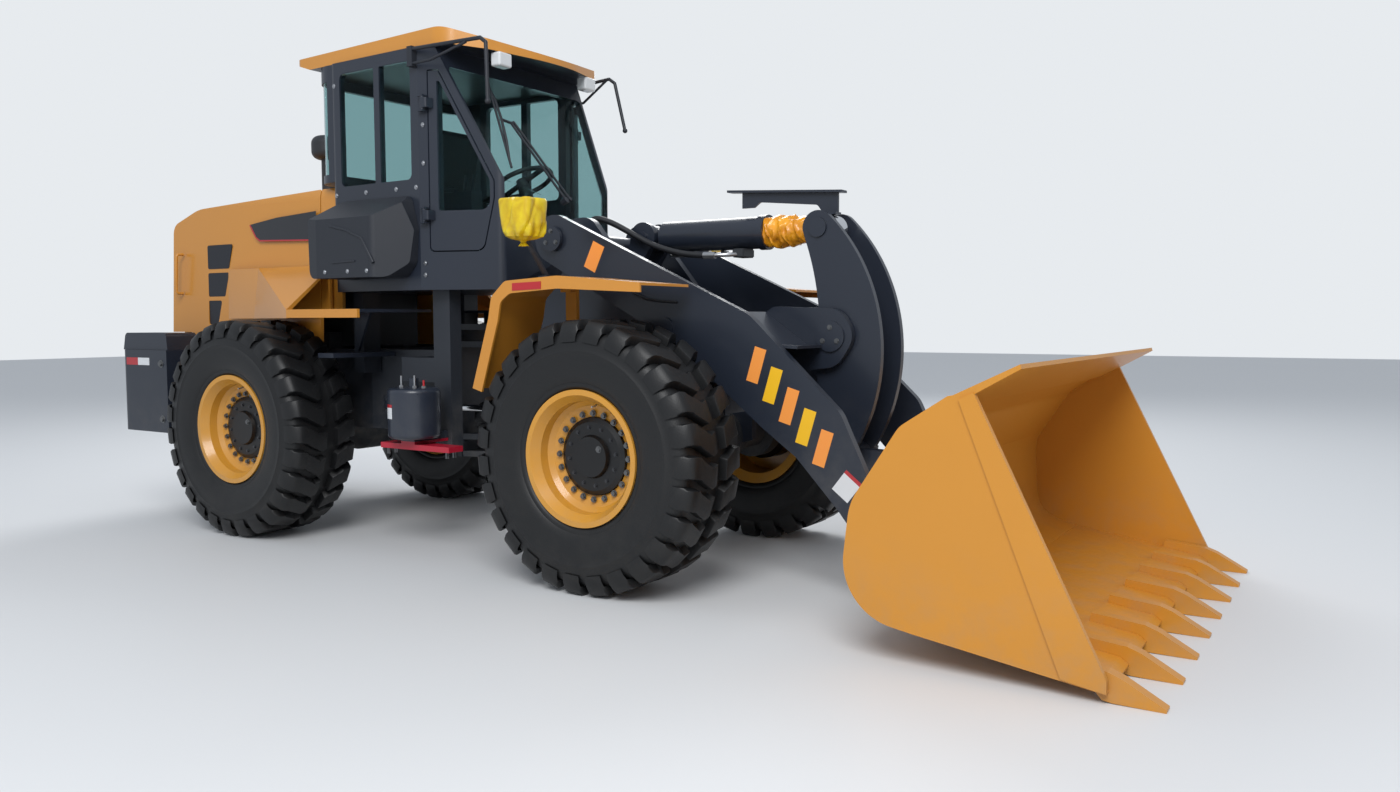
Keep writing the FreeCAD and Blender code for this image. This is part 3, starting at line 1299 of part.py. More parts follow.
def cab_glass():
    pieces = [windscreen()]
    skin = cab_volume(12).cut(cab_volume(12 + glass_plate))
    for outline in side_windows:
        pieces += pair(skin.common(side_plate(inset(outline, seat_gap), -800, -400)))
    pieces.append(skin.common(back_room(seat_gap)))
    return pieces


def cab_door(side):
    # the frame fills the opening with a gap, and is as thick as the wall
    ring = cab_volume(0).cut(cab_volume(cab_wall))
    flange = cab_volume(0).cut(cab_volume(door_flange)).common(side_plate(inset(door_opening, door_gap), -800, -400))
    inner = ring.common(side_plate(inset(door_opening, door_gap + door_rebate), -800, -400))
    frame = fuse([flange, inner]).cut(side_plate(door_window, -800, -400))
    x, y = door_hinge_x, -door_hinge_y
    r = door_knuckle_radius
    half = door_knuckle_height / 2
    for level in door_hinge_levels():
        knuckle = cylinder_z(x, y, r, level - half, level + half)
        leaf = plan_plate([(x, y - r), (x, y - r + 12), (x + 28, y - r + 12, 5), (x + 28, -705), (x + 44, -705),
                           (x + 44, y - r, 12)], level - half + 10, level + half - 10)
        bore = cylinder_z(x, y, door_pin_radius + pin_clearance, level - half - 1, level + half + 1)
        frame = frame.fuse([knuckle, leaf]).cut(bore)
    return frame.removeSplitter()


def door_glass():
    skin = cab_volume(12).cut(cab_volume(12 + glass_plate))
    return skin.common(side_plate(inset(door_window, seat_gap), -800, -400))


def cab_roof():
    half, front_half = roof_half_width, roof_front_half_width
    plan = [(roof_rear_x, -half + 60, 60), (roof_peak_x, -half, 200), (roof_corner_x, -front_half, 60),
            (roof_front_x, 0, 800), (roof_corner_x, front_half, 60), (roof_peak_x, half, 200), (roof_rear_x, half - 60, 60)]
    body = plan_plate(plan, cab_high_z - 200, cab_high_z + 300)
    seat = cab_high_z + seat_gap
    rear_z = cab_high_z + roof_rear_rise
    front_z = cab_high_z - roof_front_drop
    side = side_plate([(roof_rear_x - 10, rear_z - roof_edge), (roof_rear_x - 10, rear_z),
                       (roof_peak_x, cab_high_z + roof_peak_rise, 300), (roof_front_x + 10, front_z),
                       (roof_front_x + 10, front_z - roof_edge), (cab_brow_x + 60, seat), (cab_back_x - 20, seat)],
                      -half, half)
    return body.common(side).removeSplitter()


def seat():
    cushion = side_plate([(-560, 2120, 40), (-560, 2250, 40), (-60, 2250, 50), (-60, 2120, 40)], -250, 250)
    back = side_plate([(-560, 2180, 40), (-700, 2830, 40), (-590, 2850, 40), (-430, 2240, 40)], -240, 240)
    base = box(-480, -140, -180, 180, cab_low_z + cab_wall + seat_gap, 2125)
    arms = pair(box(-520, -200, 260, 320, 2330, 2390))
    stays = pair(box(-500, -440, 235, 320, 2180, 2340))
    return fuse([cushion, back, base] + arms + stays)


def steering_column():
    column = rod_between((330, 0, cab_low_z + cab_wall + 20), (130, 0, 2400), 45)
    foot = box(250, 385, -140, 140, cab_low_z + cab_wall + seat_gap, 2100)
    wheel_ring = Part.makeTorus(200, 16)
    spokes = box(-200, 200, -18, 18, -10, 10)
    hub = cylinder_z(0, 0, 45, -40, 20)
    ring = fuse([wheel_ring, spokes, hub])
    ring.rotate(FreeCAD.Vector(0, 0, 0), FreeCAD.Vector(0, 1, 0), -25)
    ring.translate(FreeCAD.Vector(125, 0, 2420))
    console = box(-420, 60, -430, -330, cab_low_z + cab_wall + seat_gap, 2330)
    levers = [rod_between((20 - i * 70, -380, 2320), (40 - i * 70, -380, 2440), 12) for i in range(2)]
    return [fuse([column, foot, ring]), fuse([console] + levers)]


# Outside fittings of the rear body
def side_box():
    y0 = cab_half_width + seat_gap
    y1 = side_box_outer_y
    front = side_plate([(-870, side_box_low_z, 60), (-880, 2130, 80), (-790, 2280, 60), (-150, 2280, 60),
                        (-90, 2060, 60), (-110, 1850, 60), (-200, side_box_low_z, 60)], y0, y1)
    plan = plan_plate([(-900, y0 - 1), (-900, y1 - 20), (-780, y1, 60), (-260, y1, 60), (-80, y0 + 30), (-80, y0 - 1)],
                      side_box_low_z - 1, 2300)
    slope = Part.makePolygon([FreeCAD.Vector(-1000, y, z) for y, z in
                              ((y0 - 1, 1700), (y1 + 1, 1700), (y1 + 1, 2140), (y0 - 1, 2290), (y0 - 1, 1700))])
    roof = Part.Face(slope).extrude(FreeCAD.Vector(1000, 0, 0))
    return front.common(plan).common(roof).removeSplitter()


def air_tank():
    x, y = air_tank_centre
    tank = cylinder_z(x, y, air_tank_radius, air_tank_low_z, air_tank_high_z)
    tank = tank.makeFillet(30, tank.Edges)
    skid = box(x - 250, x + 360, y - 60, y + 60, air_tank_low_z - 70, air_tank_low_z - 35)
    foot = box(x - 60, x + 60, y - 60, y + 60, air_tank_low_z - 36, air_tank_low_z + 20)
    neck = cylinder_z(x, y, 30, air_tank_high_z - 10, air_tank_high_z + 60)
    arm_y = post_y + post_size[1] / 2 + seat_gap
    arm = box(x - 30, x + 60, arm_y, y + 10, air_tank_low_z - 36, air_tank_low_z + 30)
    return mirrored(fuse([tank, skid, foot, neck, arm]))


def fuel_tank():
    y0 = post_y + post_size[1] / 2 + seat_gap
    body = box(fuel_tank_rear_x, fuel_tank_front_x, y0, fuel_tank_outer_y, fuel_tank_low_z, fuel_tank_high_z)
    return body.makeFillet(60, [e for e in body.Edges if e.BoundBox.YLength > 100])


def ladder():
    y0 = fuel_tank_outer_y + seat_gap
    y1 = y0 + ladder_depth
    stiles = [box(x, x + 30, y0, y1, 480, fender_outer_z - fender_plate - seat_gap) for x in (-620.0, -230.0)]
    steps = [box(-600, -220, y0, y1 - 5, z, z + 30) for z in (500.0, 830.0, 1160.0)]
    return fuse(stiles + steps)


def engine():
    block = box(-2150, -1250, -300, 300, 1300, 2050)
    rest = rail_high_z + seat_gap
    foot_outer = rail_outer_y - 5
    mounts = pair(box(-2000, -1400, 290, foot_outer, rest, 1400))
    cooler = box(-2850, -2650, -480, 480, rest, 2080)
    fan_ring = rod_between((-2650, 0, 1690), (-2560, 0, 1690), 380)
    shaft = rod_between((-2561, 0, 1690), (-2149, 0, 1690), 60)
    return [fuse([block, shaft, fan_ring, cooler] + mounts)]


def transmission():
    case = box(-1060, -560, -260, 260, 690, 1230)
    case = case.makeFillet(60, [e for e in case.Edges if e.BoundBox.XLength > 300])
    front = rod_between((-561, 0, shaft_z), (-swing_gap - 90, 0, shaft_z), shaft_radius)
    joint = rod_between((-swing_gap - 150, 0, shaft_z), (-swing_gap - 80, 0, shaft_z), shaft_radius + 25)
    rear = rod_between((axle_x["rear"] + axle_bulb_radius + 60 + seat_gap, 0, shaft_z), (-1059, 0, shaft_z), shaft_radius)
    ties = pair(box(-1000, -960, 255, rail_outer_y - rail_plate - seat_gap, 1000, 1100))
    return fuse([case, front, joint, rear] + ties)


def air_intake():
    # a pipe on the hood with the bowl of the dust separator on top
    hood_roof = hood()
    bowl_low = hood_front_top_z + intake_bowl_rise
    pipe = cylinder_z(intake_x, 0, intake_pipe_radius, hood_rear_top_z, bowl_low + 5)
    foot = cylinder_z(intake_x, 0, intake_pipe_radius + 30, hood_rear_top_z, hood_front_top_z - 10)
    hood_roof.translate(FreeCAD.Vector(0, 0, seat_gap))
    standing = fuse([pipe, foot]).cut(hood_roof)
    standing = max(standing.Solids, key=lambda s: s.BoundBox.ZMax)
    bowl = cylinder_z(intake_x, 0, intake_bowl_radius, bowl_low, bowl_low + intake_bowl_height)
    bowl = bowl.makeFillet(60, bowl.Edges)
    return fuse([standing, bowl])


def bent_tube(points, radius):
    # straight runs with a ball at each bend
    pieces = [rod_between(a, b, radius) for a, b in zip(points, points[1:])]
    pieces += [Part.makeSphere(radius, FreeCAD.Vector(*p)) for p in points[1:-1]]
    return fuse(pieces)


def bracket_foot(side):
    # a plate on the door's rear post
    y0 = cab_half_width - 20
    foot = box(cab_pillar_x - 45, cab_pillar_x, y0, y0 + 62, cab_high_z - 130, cab_high_z - 5).cut(cab_volume(-seat_gap))
    return foot if side > 0 else mirrored(foot)


def mirror_brackets():
    # bare tube brackets on both sides; the points are (x, y, drop below the cab's top)
    x = cab_pillar_x - 22
    near_top = [(x, -cab_half_width - 28, 22), (516, -802, 41), (560, -802, 73), (569, -802, 420)]
    near_low = [(x, -cab_half_width - 28, 112), (80, -787, 112), (397, -802, 50)]
    far_top = [(x, cab_half_width + 28, 22), (-50, 800, -14), (260, 802, -36), (310, 802, 0), (400, 802, 350)]
    far_low = [(x, cab_half_width + 28, 112), (20, 798, 112), (235, 802, -30)]
    halves = []
    for side, top, low in ((-1, near_top, near_low), (1, far_top, far_low)):
        tubes = [bent_tube([(px, py, cab_high_z - drop) for px, py, drop in run], radius)
                 for run, radius in ((top, 12), (low, 9))]
        end = top[-1]
        ball = Part.makeSphere(18, FreeCAD.Vector(end[0], end[1], cab_high_z - end[2]))
        halves.append(fuse([bracket_foot(side), ball] + tubes))
    return halves


def work_lamps():
    lamps = []
    roof = cab_roof()
    roof.translate(FreeCAD.Vector(0, 0, -seat_gap))
    for x in (340.0, -1250.0):
        body = box(x - 40, x + 40, 370, 490, cab_high_z - 125, cab_high_z - 35)
        body = body.makeFillet(15, body.Edges)
        stem = cylinder_z(x, 430, 12, cab_high_z - 45, cab_high_z + 200).cut(roof)
        stem = min(stem.Solids, key=lambda s: s.BoundBox.ZMin)
        lamps += pair(fuse([body, stem]))
    return lamps


def tail_lamps():
    # dark lamp blocks on the counterweight's shoulders
    top = weight_high_z + 128
    block = side_plate([(weight_rear_x + 130, weight_high_z + seat_gap), (weight_rear_x + 160, top, 40), (weight_front_x - 30, top, 30),
                        (weight_front_x - 15, weight_high_z + seat_gap)],
                       weight_half_width - 260, weight_half_width - 20)
    lens = box(weight_rear_x + 120, weight_rear_x + 170, weight_half_width - 230, weight_half_width - 50,
               weight_high_z + 35, weight_high_z + 95)
    return pair(fuse([block, lens]))


os.makedirs("parts", exist_ok=True)

save_wheels()
save_axles()
save_cylinders()
save("front_frame", [front_frame()])
save("front_fenders", pair(front_fender()))
save("headlamps", pair(headlamp()))
save("lamp_bags", pair(lamp_bag()))
save("boom", [boom()])
save("bellcrank", [bellcrank()])
save("bucket_link", [bucket_link()])
save("bucket", [bucket()])
save("bucket_teeth", teeth())
save("rear_frame", [rear_frame()])
save("counterweight", [counterweight()])
save("hood", [hood()])
save("hood_louvres", hood_louvres())
save("hood_cowl", [hood_cowl()])
save("rear_fenders", pair(rear_fender()))
save("side_decks", pair(side_deck()))
save("cab_shell", [cab_shell()])
save("cab_glass", cab_glass())
save("cab_roof", [cab_roof()])
save("cab_door_right", [cab_door(-1)])
save("cab_door_left", [mirrored(cab_door(-1))])
save("door_glass_right", [door_glass()])
save("door_glass_left", [mirrored(door_glass())])
save("seat", [seat()])
save("steering_column", steering_column())
save("side_boxes", pair(side_box()))
save("air_tank", [air_tank()])
save("fuel_tank", [fuel_tank()])
save("ladder", [ladder()])
save("engine", engine())
save("transmission", [transmission()])
save("air_intake", [air_intake()])
save("mirrors", mirror_brackets())
save("work_lamps", work_lamps())
save("tail_lamps", tail_lamps())
print("origin shift", round(origin_shift, 3))
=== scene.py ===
# %% [markdown]
# # A wheel loader, dressed for the studio
# The machine comes from CAD as a fixed frame: every plate, pin and wheel already stands where it
# belongs. This lesson gives it its finish. It makes the paint, rubber, glass and plastics, and the
# pieces that are softer or finer than CAD wants to be: tyre treads, a bag over a lamp, a wrap round
# a piston rod, bolts, hoses and trim.

# %% Load the frame
import bpy
import bmesh
import math
from mathutils import Euler, Matrix, Vector


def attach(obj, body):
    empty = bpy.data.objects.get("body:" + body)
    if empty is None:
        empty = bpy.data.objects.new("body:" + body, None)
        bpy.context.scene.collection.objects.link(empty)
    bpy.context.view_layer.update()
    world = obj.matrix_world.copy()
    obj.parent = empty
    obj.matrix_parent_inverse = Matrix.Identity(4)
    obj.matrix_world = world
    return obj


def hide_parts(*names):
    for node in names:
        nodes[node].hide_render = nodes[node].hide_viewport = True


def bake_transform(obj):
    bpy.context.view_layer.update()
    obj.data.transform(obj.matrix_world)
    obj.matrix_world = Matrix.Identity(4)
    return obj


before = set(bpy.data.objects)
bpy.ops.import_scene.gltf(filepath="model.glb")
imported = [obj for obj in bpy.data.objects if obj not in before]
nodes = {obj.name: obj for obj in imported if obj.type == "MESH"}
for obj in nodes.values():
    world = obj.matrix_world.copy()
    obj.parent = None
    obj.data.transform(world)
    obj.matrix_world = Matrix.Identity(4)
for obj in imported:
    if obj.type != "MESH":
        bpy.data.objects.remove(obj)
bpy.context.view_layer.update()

# %% [markdown]
# ## The camera
# The photographer stood to the right and in front of the machine, at head height, with a phone's
# wide lens. The place and the turn were fitted to the rims of the wheels, the tips of the teeth
# and the cab's corners, so the model and the photograph share one perspective.

# %% Place the camera
camera_place = Vector((4.5172, -5.6627, 1.4885))
camera_turn = Euler((math.radians(85.9445), 0.0, math.radians(32.5154))).to_matrix()
camera_roll = Matrix.Rotation(math.radians(-0.1513), 3, "Z")
camera_data = bpy.data.cameras.new("camera")
camera_data.sensor_width = 36.0
camera_data.lens = 27.85
camera = bpy.data.objects.new("camera", camera_data)
camera.matrix_world = Matrix.Translation(camera_place) @ (camera_turn @ camera_roll).to_4x4()
bpy.context.scene.collection.objects.link(camera)
bpy.context.scene.camera = camera
print("camera at", tuple(round(v, 3) for v in camera_place))

# %% [markdown]
# ## Light and floor
# The photograph was taken under an overcast sky, which is one very large soft lamp. A pale world
# gives most of the light, and two broad lamps add the direction that shapes need: one high on the
# camera's side, one behind the machine for the edges. The floor is pale and plain.

# %% Light the studio
def area_lamp(name, place, target, size, power):
    data = bpy.data.lights.new(name, "AREA")
    data.shape = "DISK"
    data.size = size
    data.energy = power
    lamp = bpy.data.objects.new(name, data)
    away = Vector(place) - Vector(target)
    lamp.matrix_world = Matrix.Translation(place) @ away.to_track_quat("Z", "Y").to_matrix().to_4x4()
    bpy.context.scene.collection.objects.link(lamp)
    return lamp


area_lamp("key", (5.0, -8.5, 9.0), (0.0, 0.0, 1.2), 7.0, 1150.0)
area_lamp("rim", (-5.0, 8.0, 8.0), (0.0, 0.0, 1.5), 7.0, 700.0)

studio = bpy.data.worlds.new("studio")
bpy.context.scene.world = studio
studio.use_nodes = True
world_tree = studio.node_tree
world_tree.nodes.clear()
sky = world_tree.nodes.new("ShaderNodeBackground")
sky.inputs["Color"].default_value = (0.86, 0.92, 1.0, 1.0)
sky.inputs["Strength"].default_value = 0.62
backdrop = world_tree.nodes.new("ShaderNodeBackground")
backdrop.inputs["Color"].default_value = (0.80, 0.83, 0.86, 1.0)
rays = world_tree.nodes.new("ShaderNodeLightPath")
choose = world_tree.nodes.new("ShaderNodeMixShader")
world_out = world_tree.nodes.new("ShaderNodeOutputWorld")
world_tree.links.new(rays.outputs["Is Camera Ray"], choose.inputs[0])
world_tree.links.new(sky.outputs[0], choose.inputs[1])
world_tree.links.new(backdrop.outputs[0], choose.inputs[2])
world_tree.links.new(choose.outputs[0], world_out.inputs[0])
bpy.context.scene.view_settings.view_transform = "Standard"

# %% [markdown]
# ## Shader tools
# A finish is mostly small differences: paint is a little thicker here and thinner there, dust
# settles low on the machine, and a moulded surface has a fine grain. These effects are made once,
# as node groups with named inputs, and each material then uses them with its own values.

# %% A helper for node trees
def add_node(tree, kind, x, y, **settings):
    node = tree.nodes.new(kind)
    node.location = (x, y)
    for key, value in settings.items():
        setattr(node, key, value)
    return node


def group_sockets(tree, inputs, outputs):
    for name, kind, value in inputs:
        socket = tree.interface.new_socket(name, in_out="INPUT", socket_type=kind)
        if value is not None:
            socket.default_value = value
    for name, kind in outputs:
        tree.interface.new_socket(name, in_out="OUTPUT", socket_type=kind)


# %% [markdown]
# The surface group answers three questions for any coated surface: how the colour drifts, how
# rough it is, and how bumpy. Two noises are used, a broad one for the drift and a fine one for the
# grain, and a third, in patches, is the dust and splash that a wet yard leaves low down.

# %% Build the surface group
surface_group = bpy.data.node_groups.new("coated_surface", "ShaderNodeTree")
group_sockets(surface_group,
              [("Color", "NodeSocketColor", (0.5, 0.5, 0.5, 1.0)),
               ("Drift", "NodeSocketFloat", 0.06),
               ("Roughness", "NodeSocketFloat", 0.35),
               ("Grain Scale", "NodeSocketFloat", 120.0),
               ("Dust", "NodeSocketFloat", 0.25),
               ("Dust Top", "NodeSocketFloat", 1.1)],
              [("Color", "NodeSocketColor"), ("Roughness", "NodeSocketFloat"), ("Height", "NodeSocketFloat")])
g = surface_group
g_in = add_node(g, "NodeGroupInput", -900, 0)
g_out = add_node(g, "NodeGroupOutput", 900, 0)
place = add_node(g, "ShaderNodeTexCoord", -900, -300)
split = add_node(g, "ShaderNodeSeparateXYZ", -700, -450)
g.links.new(place.outputs["Object"], split.inputs[0])
broad = add_node(g, "ShaderNodeTexNoise", -700, 200)
broad.inputs["Scale"].default_value = 1.7
broad.inputs["Detail"].default_value = 4.0
fine = add_node(g, "ShaderNodeTexNoise", -700, -50)
fine.inputs["Detail"].default_value = 2.0
splash = add_node(g, "ShaderNodeTexNoise", -700, -650)
splash.inputs["Scale"].default_value = 7.0
splash.inputs["Detail"].default_value = 6.0
splash.inputs["Roughness"].default_value = 0.65
for noise in (broad, fine, splash):
    g.links.new(place.outputs["Object"], noise.inputs["Vector"])
g.links.new(g_in.outputs["Grain Scale"], fine.inputs["Scale"])
shift = add_node(g, "ShaderNodeMath", -450, 200, operation="SUBTRACT")
shift.inputs[1].default_value = 0.5
g.links.new(broad.outputs["Fac"], shift.inputs[0])
drift = add_node(g, "ShaderNodeMath", -250, 200, operation="MULTIPLY_ADD")
drift.inputs[2].default_value = 1.0
g.links.new(shift.outputs[0], drift.inputs[0])
g.links.new(g_in.outputs["Drift"], drift.inputs[1])
tint = add_node(g, "ShaderNodeVectorMath", -50, 200, operation="SCALE")
g.links.new(g_in.outputs["Color"], tint.inputs[0])
g.links.new(drift.outputs[0], tint.inputs["Scale"])
low = add_node(g, "ShaderNodeMapRange", -450, -450)
low.inputs["From Min"].default_value = 0.05
low.inputs["To Min"].default_value = 1.0
low.inputs["To Max"].default_value = 0.0
g.links.new(split.outputs["Z"], low.inputs["Value"])
g.links.new(g_in.outputs["Dust Top"], low.inputs["From Max"])
patches = add_node(g, "ShaderNodeMapRange", -450, -700)
patches.inputs["From Min"].default_value = 0.42
patches.inputs["From Max"].default_value = 0.68
g.links.new(splash.outputs["Fac"], patches.inputs["Value"])
dust = add_node(g, "ShaderNodeMath", -250, -450, operation="MULTIPLY")
g.links.new(low.outputs[0], dust.inputs[0])
g.links.new(patches.outputs[0], dust.inputs[1])
dust_amount = add_node(g, "ShaderNodeMath", -50, -450, operation="MULTIPLY")
g.links.new(dust.outputs[0], dust_amount.inputs[0])
g.links.new(g_in.outputs["Dust"], dust_amount.inputs[1])
dusty = add_node(g, "ShaderNodeMix", 250, 150, data_type="RGBA")
dusty.inputs["B"].default_value = (0.24, 0.215, 0.18, 1.0)
g.links.new(dust_amount.outputs[0], dusty.inputs["Factor"])
g.links.new(tint.outputs[0], dusty.inputs["A"])
g.links.new(dusty.outputs["Result"], g_out.inputs["Color"])
rough = add_node(g, "ShaderNodeMath", 250, -100, operation="MULTIPLY_ADD")
rough.inputs[1].default_value = 0.35
g.links.new(dust_amount.outputs[0], rough.inputs[0])
g.links.new(g_in.outputs["Roughness"], rough.inputs[2])
g.links.new(rough.outputs[0], g_out.inputs["Roughness"])
g.links.new(fine.outputs["Fac"], g_out.inputs["Height"])
print("group:", g.name, "with", len(g.nodes), "nodes")


# %% A coated material from the surface group
def coated(name, color, roughness, grain=120.0, bump=0.02, dust=0.25, dust_top=1.1, coat=0.0, metallic=0.0,
           drift=0.06):
    material = bpy.data.materials.new(name)
    material.use_nodes = True
    tree = material.node_tree
    shader = tree.nodes["Principled BSDF"]
    shader.inputs["Metallic"].default_value = metallic
    shader.inputs["Coat Weight"].default_value = coat
    shader.inputs["Coat Roughness"].default_value = 0.12
    surface = add_node(tree, "ShaderNodeGroup", -500, 0)
    surface.node_tree = surface_group
    surface.inputs["Color"].default_value = (*color, 1.0)
    surface.inputs["Drift"].default_value = drift
    surface.inputs["Roughness"].default_value = roughness
    surface.inputs["Grain Scale"].default_value = grain
    surface.inputs["Dust"].default_value = dust
    surface.inputs["Dust Top"].default_value = dust_top
    relief = add_node(tree, "ShaderNodeBump", -250, -250)
    relief.inputs["Strength"].default_value = bump
    relief.inputs["Distance"].default_value = 0.01
    tree.links.new(surface.outputs["Height"], relief.inputs["Height"])
    tree.links.new(surface.outputs["Color"], shader.inputs["Base Color"])
    tree.links.new(surface.outputs["Roughness"], shader.inputs["Roughness"])
    tree.links.new(relief.outputs["Normal"], shader.inputs["Normal"])
    return material


# %% [markdown]
# ## The paints and plastics
# The body panels, rims and bucket carry a warm yellow enamel, glossy with a clear coat. Frames, arm
# and cab are a blue-grey enamel, nearly black in shade. Castings are duller, plastics have a grain.

# %% Mix the finishes
yellow_enamel = coated("yellow_enamel", (0.56, 0.235, 0.030), 0.32, coat=0.35, dust=0.12)
bucket_enamel = coated("bucket_enamel", (0.56, 0.235, 0.022), 0.42, coat=0.1, dust=0.22, dust_top=0.6, drift=0.12)
dark_enamel = coated("dark_enamel", (0.015, 0.020, 0.032), 0.36, coat=0.2, dust=0.22)
frame_enamel = coated("frame_enamel", (0.022, 0.026, 0.034), 0.45, dust=0.45)
casting = coated("casting", (0.022, 0.025, 0.030), 0.55, grain=220.0, bump=0.12, dust=0.5)
moulded_black = coated("moulded_black", (0.014, 0.017, 0.024), 0.5, grain=420.0, bump=0.1)
grille_paint = coated("grille_paint", (0.008, 0.010, 0.016), 0.45)
seat_vinyl = coated("seat_vinyl", (0.03, 0.033, 0.038), 0.6, grain=300.0, bump=0.15)
tyre_rubber = coated("tyre_rubber", (0.0030, 0.0034, 0.0042), 0.50, grain=160.0, bump=0.12, dust=0.035, dust_top=1.0)
rod_chrome = coated("rod_chrome", (0.72, 0.73, 0.75), 0.12, bump=0.0, metallic=1.0, dust=0.0)
lamp_plastic = coated("lamp_plastic", (0.62, 0.64, 0.65), 0.15, coat=0.6, bump=0.0)

# %% Tinted safety glass
cab_tint = bpy.data.materials.new("cab_tint")
cab_tint.use_nodes = True
glass = cab_tint.node_tree.nodes["Principled BSDF"]
glass.inputs["Base Color"].default_value = (0.56, 0.74, 0.73, 1.0)
glass.inputs["Roughness"].default_value = 0.02
glass.inputs["Transmission Weight"].default_value = 1.0
glass.inputs["IOR"].default_value = 1.1
print("finishes:", len(bpy.data.materials))

# %% [markdown]
# ## Two paints on one wheel
# The rim is yellow, the planet hub in its middle is nearly black, and both are one CAD solid. A
# mask tells them apart by the distance from the axle. Both axles lie at the same height and equally
# far from the middle, so folding x about the middle serves all four wheels with one group.

# %% Paint the wheels by their radius
wheel_mask = bpy.data.node_groups.new("distance_from_axle", "ShaderNodeTree")
group_sockets(wheel_mask,
              [("Middle", "NodeSocketFloat", -0.645797), ("Half Base", "NodeSocketFloat", 1.525),
               ("Axle Height", "NodeSocketFloat", 0.745), ("Edge", "NodeSocketFloat", 0.216)],
              [("Inside", "NodeSocketFloat"), ("Distance", "NodeSocketFloat")])
w_in = add_node(wheel_mask, "NodeGroupInput", -900, 0)
w_out = add_node(wheel_mask, "NodeGroupOutput", 700, 0)
w_place = add_node(wheel_mask, "ShaderNodeTexCoord", -900, -300)
w_split = add_node(wheel_mask, "ShaderNodeSeparateXYZ", -700, -300)
wheel_mask.links.new(w_place.outputs["Object"], w_split.inputs[0])


def mask_math(tree, kind, a, b, x, y):
    node = add_node(tree, "ShaderNodeMath", x, y, operation=kind)
    for socket, value in zip(node.inputs, (a, b)):
        if value is None:
            continue
        if isinstance(value, (int, float)):
            socket.default_value = value
        else:
            tree.links.new(value, socket)
    return node.outputs[0]


w_x = mask_math(wheel_mask, "SUBTRACT", w_split.outputs["X"], w_in.outputs["Middle"], -500, -100)
w_fold = mask_math(wheel_mask, "ABSOLUTE", w_x, None, -350, -100)
w_local = mask_math(wheel_mask, "SUBTRACT", w_fold, w_in.outputs["Half Base"], -200, -100)
w_z = mask_math(wheel_mask, "SUBTRACT", w_split.outputs["Z"], w_in.outputs["Axle Height"], -500, -400)
w_square_x = mask_math(wheel_mask, "MULTIPLY", w_local, w_local, -50, -100)
w_square_z = mask_math(wheel_mask, "MULTIPLY", w_z, w_z, -50, -400)
w_sum = mask_math(wheel_mask, "ADD", w_square_x, w_square_z, 100, -200)
w_distance = mask_math(wheel_mask, "SQRT", w_sum, None, 250, -200)
w_inside = mask_math(wheel_mask, "LESS_THAN", w_distance, w_in.outputs["Edge"], 400, 0)
wheel_mask.links.new(w_inside, w_out.inputs["Inside"])
wheel_mask.links.new(w_distance, w_out.inputs["Distance"])

wheel_enamel = coated("wheel_enamel", (0.58, 0.27, 0.030), 0.34, coat=0.3, dust=0.2, dust_top=1.4)
tree = wheel_enamel.node_tree
hub_mask = add_node(tree, "ShaderNodeGroup", -500, 300)
hub_mask.node_tree = wheel_mask
two_paints = add_node(tree, "ShaderNodeMix", -150, 250, data_type="RGBA")
two_paints.inputs["B"].default_value = (0.003, 0.0032, 0.004, 1.0)
tree.links.new(hub_mask.outputs["Inside"], two_paints.inputs["Factor"])
tree.links.new(tree.nodes["Principled BSDF"].inputs["Base Color"].links[0].from_socket, two_paints.inputs["A"])
tree.links.new(two_paints.outputs["Result"], tree.nodes["Principled BSDF"].inputs["Base Color"])
coat_part = mask_math(tree, "MULTIPLY_ADD", hub_mask.outputs["Inside"], -0.3, -150, 450)
coat_part.node.inputs[2].default_value = 0.3
tree.links.new(coat_part, tree.nodes["Principled BSDF"].inputs["Coat Weight"])
bolt_steel = coated("bolt_steel", (0.16, 0.165, 0.17), 0.38, metallic=0.9, bump=0.0, dust=0.2)
print("wheel paint:", len(tree.nodes), "nodes")

# %% [markdown]
# ## Thin film, rubber and small finishes
# The lamps and one piston rod are still in their yellow shipping film. Film is thin, stiff and
# shiny, and its creases are sharp, so its bump comes from the edges of Voronoi cells and not from
# soft noise. The creases are also painted a darker colour, which is painted shade in the folds. The
# crumple group is used for both films.

# %% Crumpled film
crumple = bpy.data.node_groups.new("film_creases", "ShaderNodeTree")
# The darker of the two colours is painted shade, laid into the creases.
group_sockets(crumple, [("Crease Scale", "NodeSocketFloat", 26.0), ("Color", "NodeSocketColor", (0.7, 0.5, 0.02, 1.0)),
                        ("Crease Shade Color", "NodeSocketColor", (0.5, 0.3, 0.01, 1.0))],
              [("Color", "NodeSocketColor"), ("Height", "NodeSocketFloat")])
c_in = add_node(crumple, "NodeGroupInput", -900, 0)
c_out = add_node(crumple, "NodeGroupOutput", 600, 0)
c_place = add_node(crumple, "ShaderNodeTexCoord", -900, -300)
c_bend = add_node(crumple, "ShaderNodeTexNoise", -700, -300)
c_bend.inputs["Scale"].default_value = 9.0
c_mix = add_node(crumple, "ShaderNodeMix", -500, -250, data_type="VECTOR")
c_mix.inputs["Factor"].default_value = 0.12
c_cells = add_node(crumple, "ShaderNodeTexVoronoi", -300, -200, feature="DISTANCE_TO_EDGE")
c_small = add_node(crumple, "ShaderNodeTexNoise", -300, 100)
c_small.inputs["Scale"].default_value = 60.0
c_small.inputs["Detail"].default_value = 4.0
crumple.links.new(c_place.outputs["Object"], c_bend.inputs["Vector"])
crumple.links.new(c_place.outputs["Object"], c_mix.inputs["A"])
crumple.links.new(c_bend.outputs["Color"], c_mix.inputs["B"])
crumple.links.new(c_mix.outputs["Result"], c_cells.inputs["Vector"])
crumple.links.new(c_in.outputs["Crease Scale"], c_cells.inputs["Scale"])
crumple.links.new(c_place.outputs["Object"], c_small.inputs["Vector"])
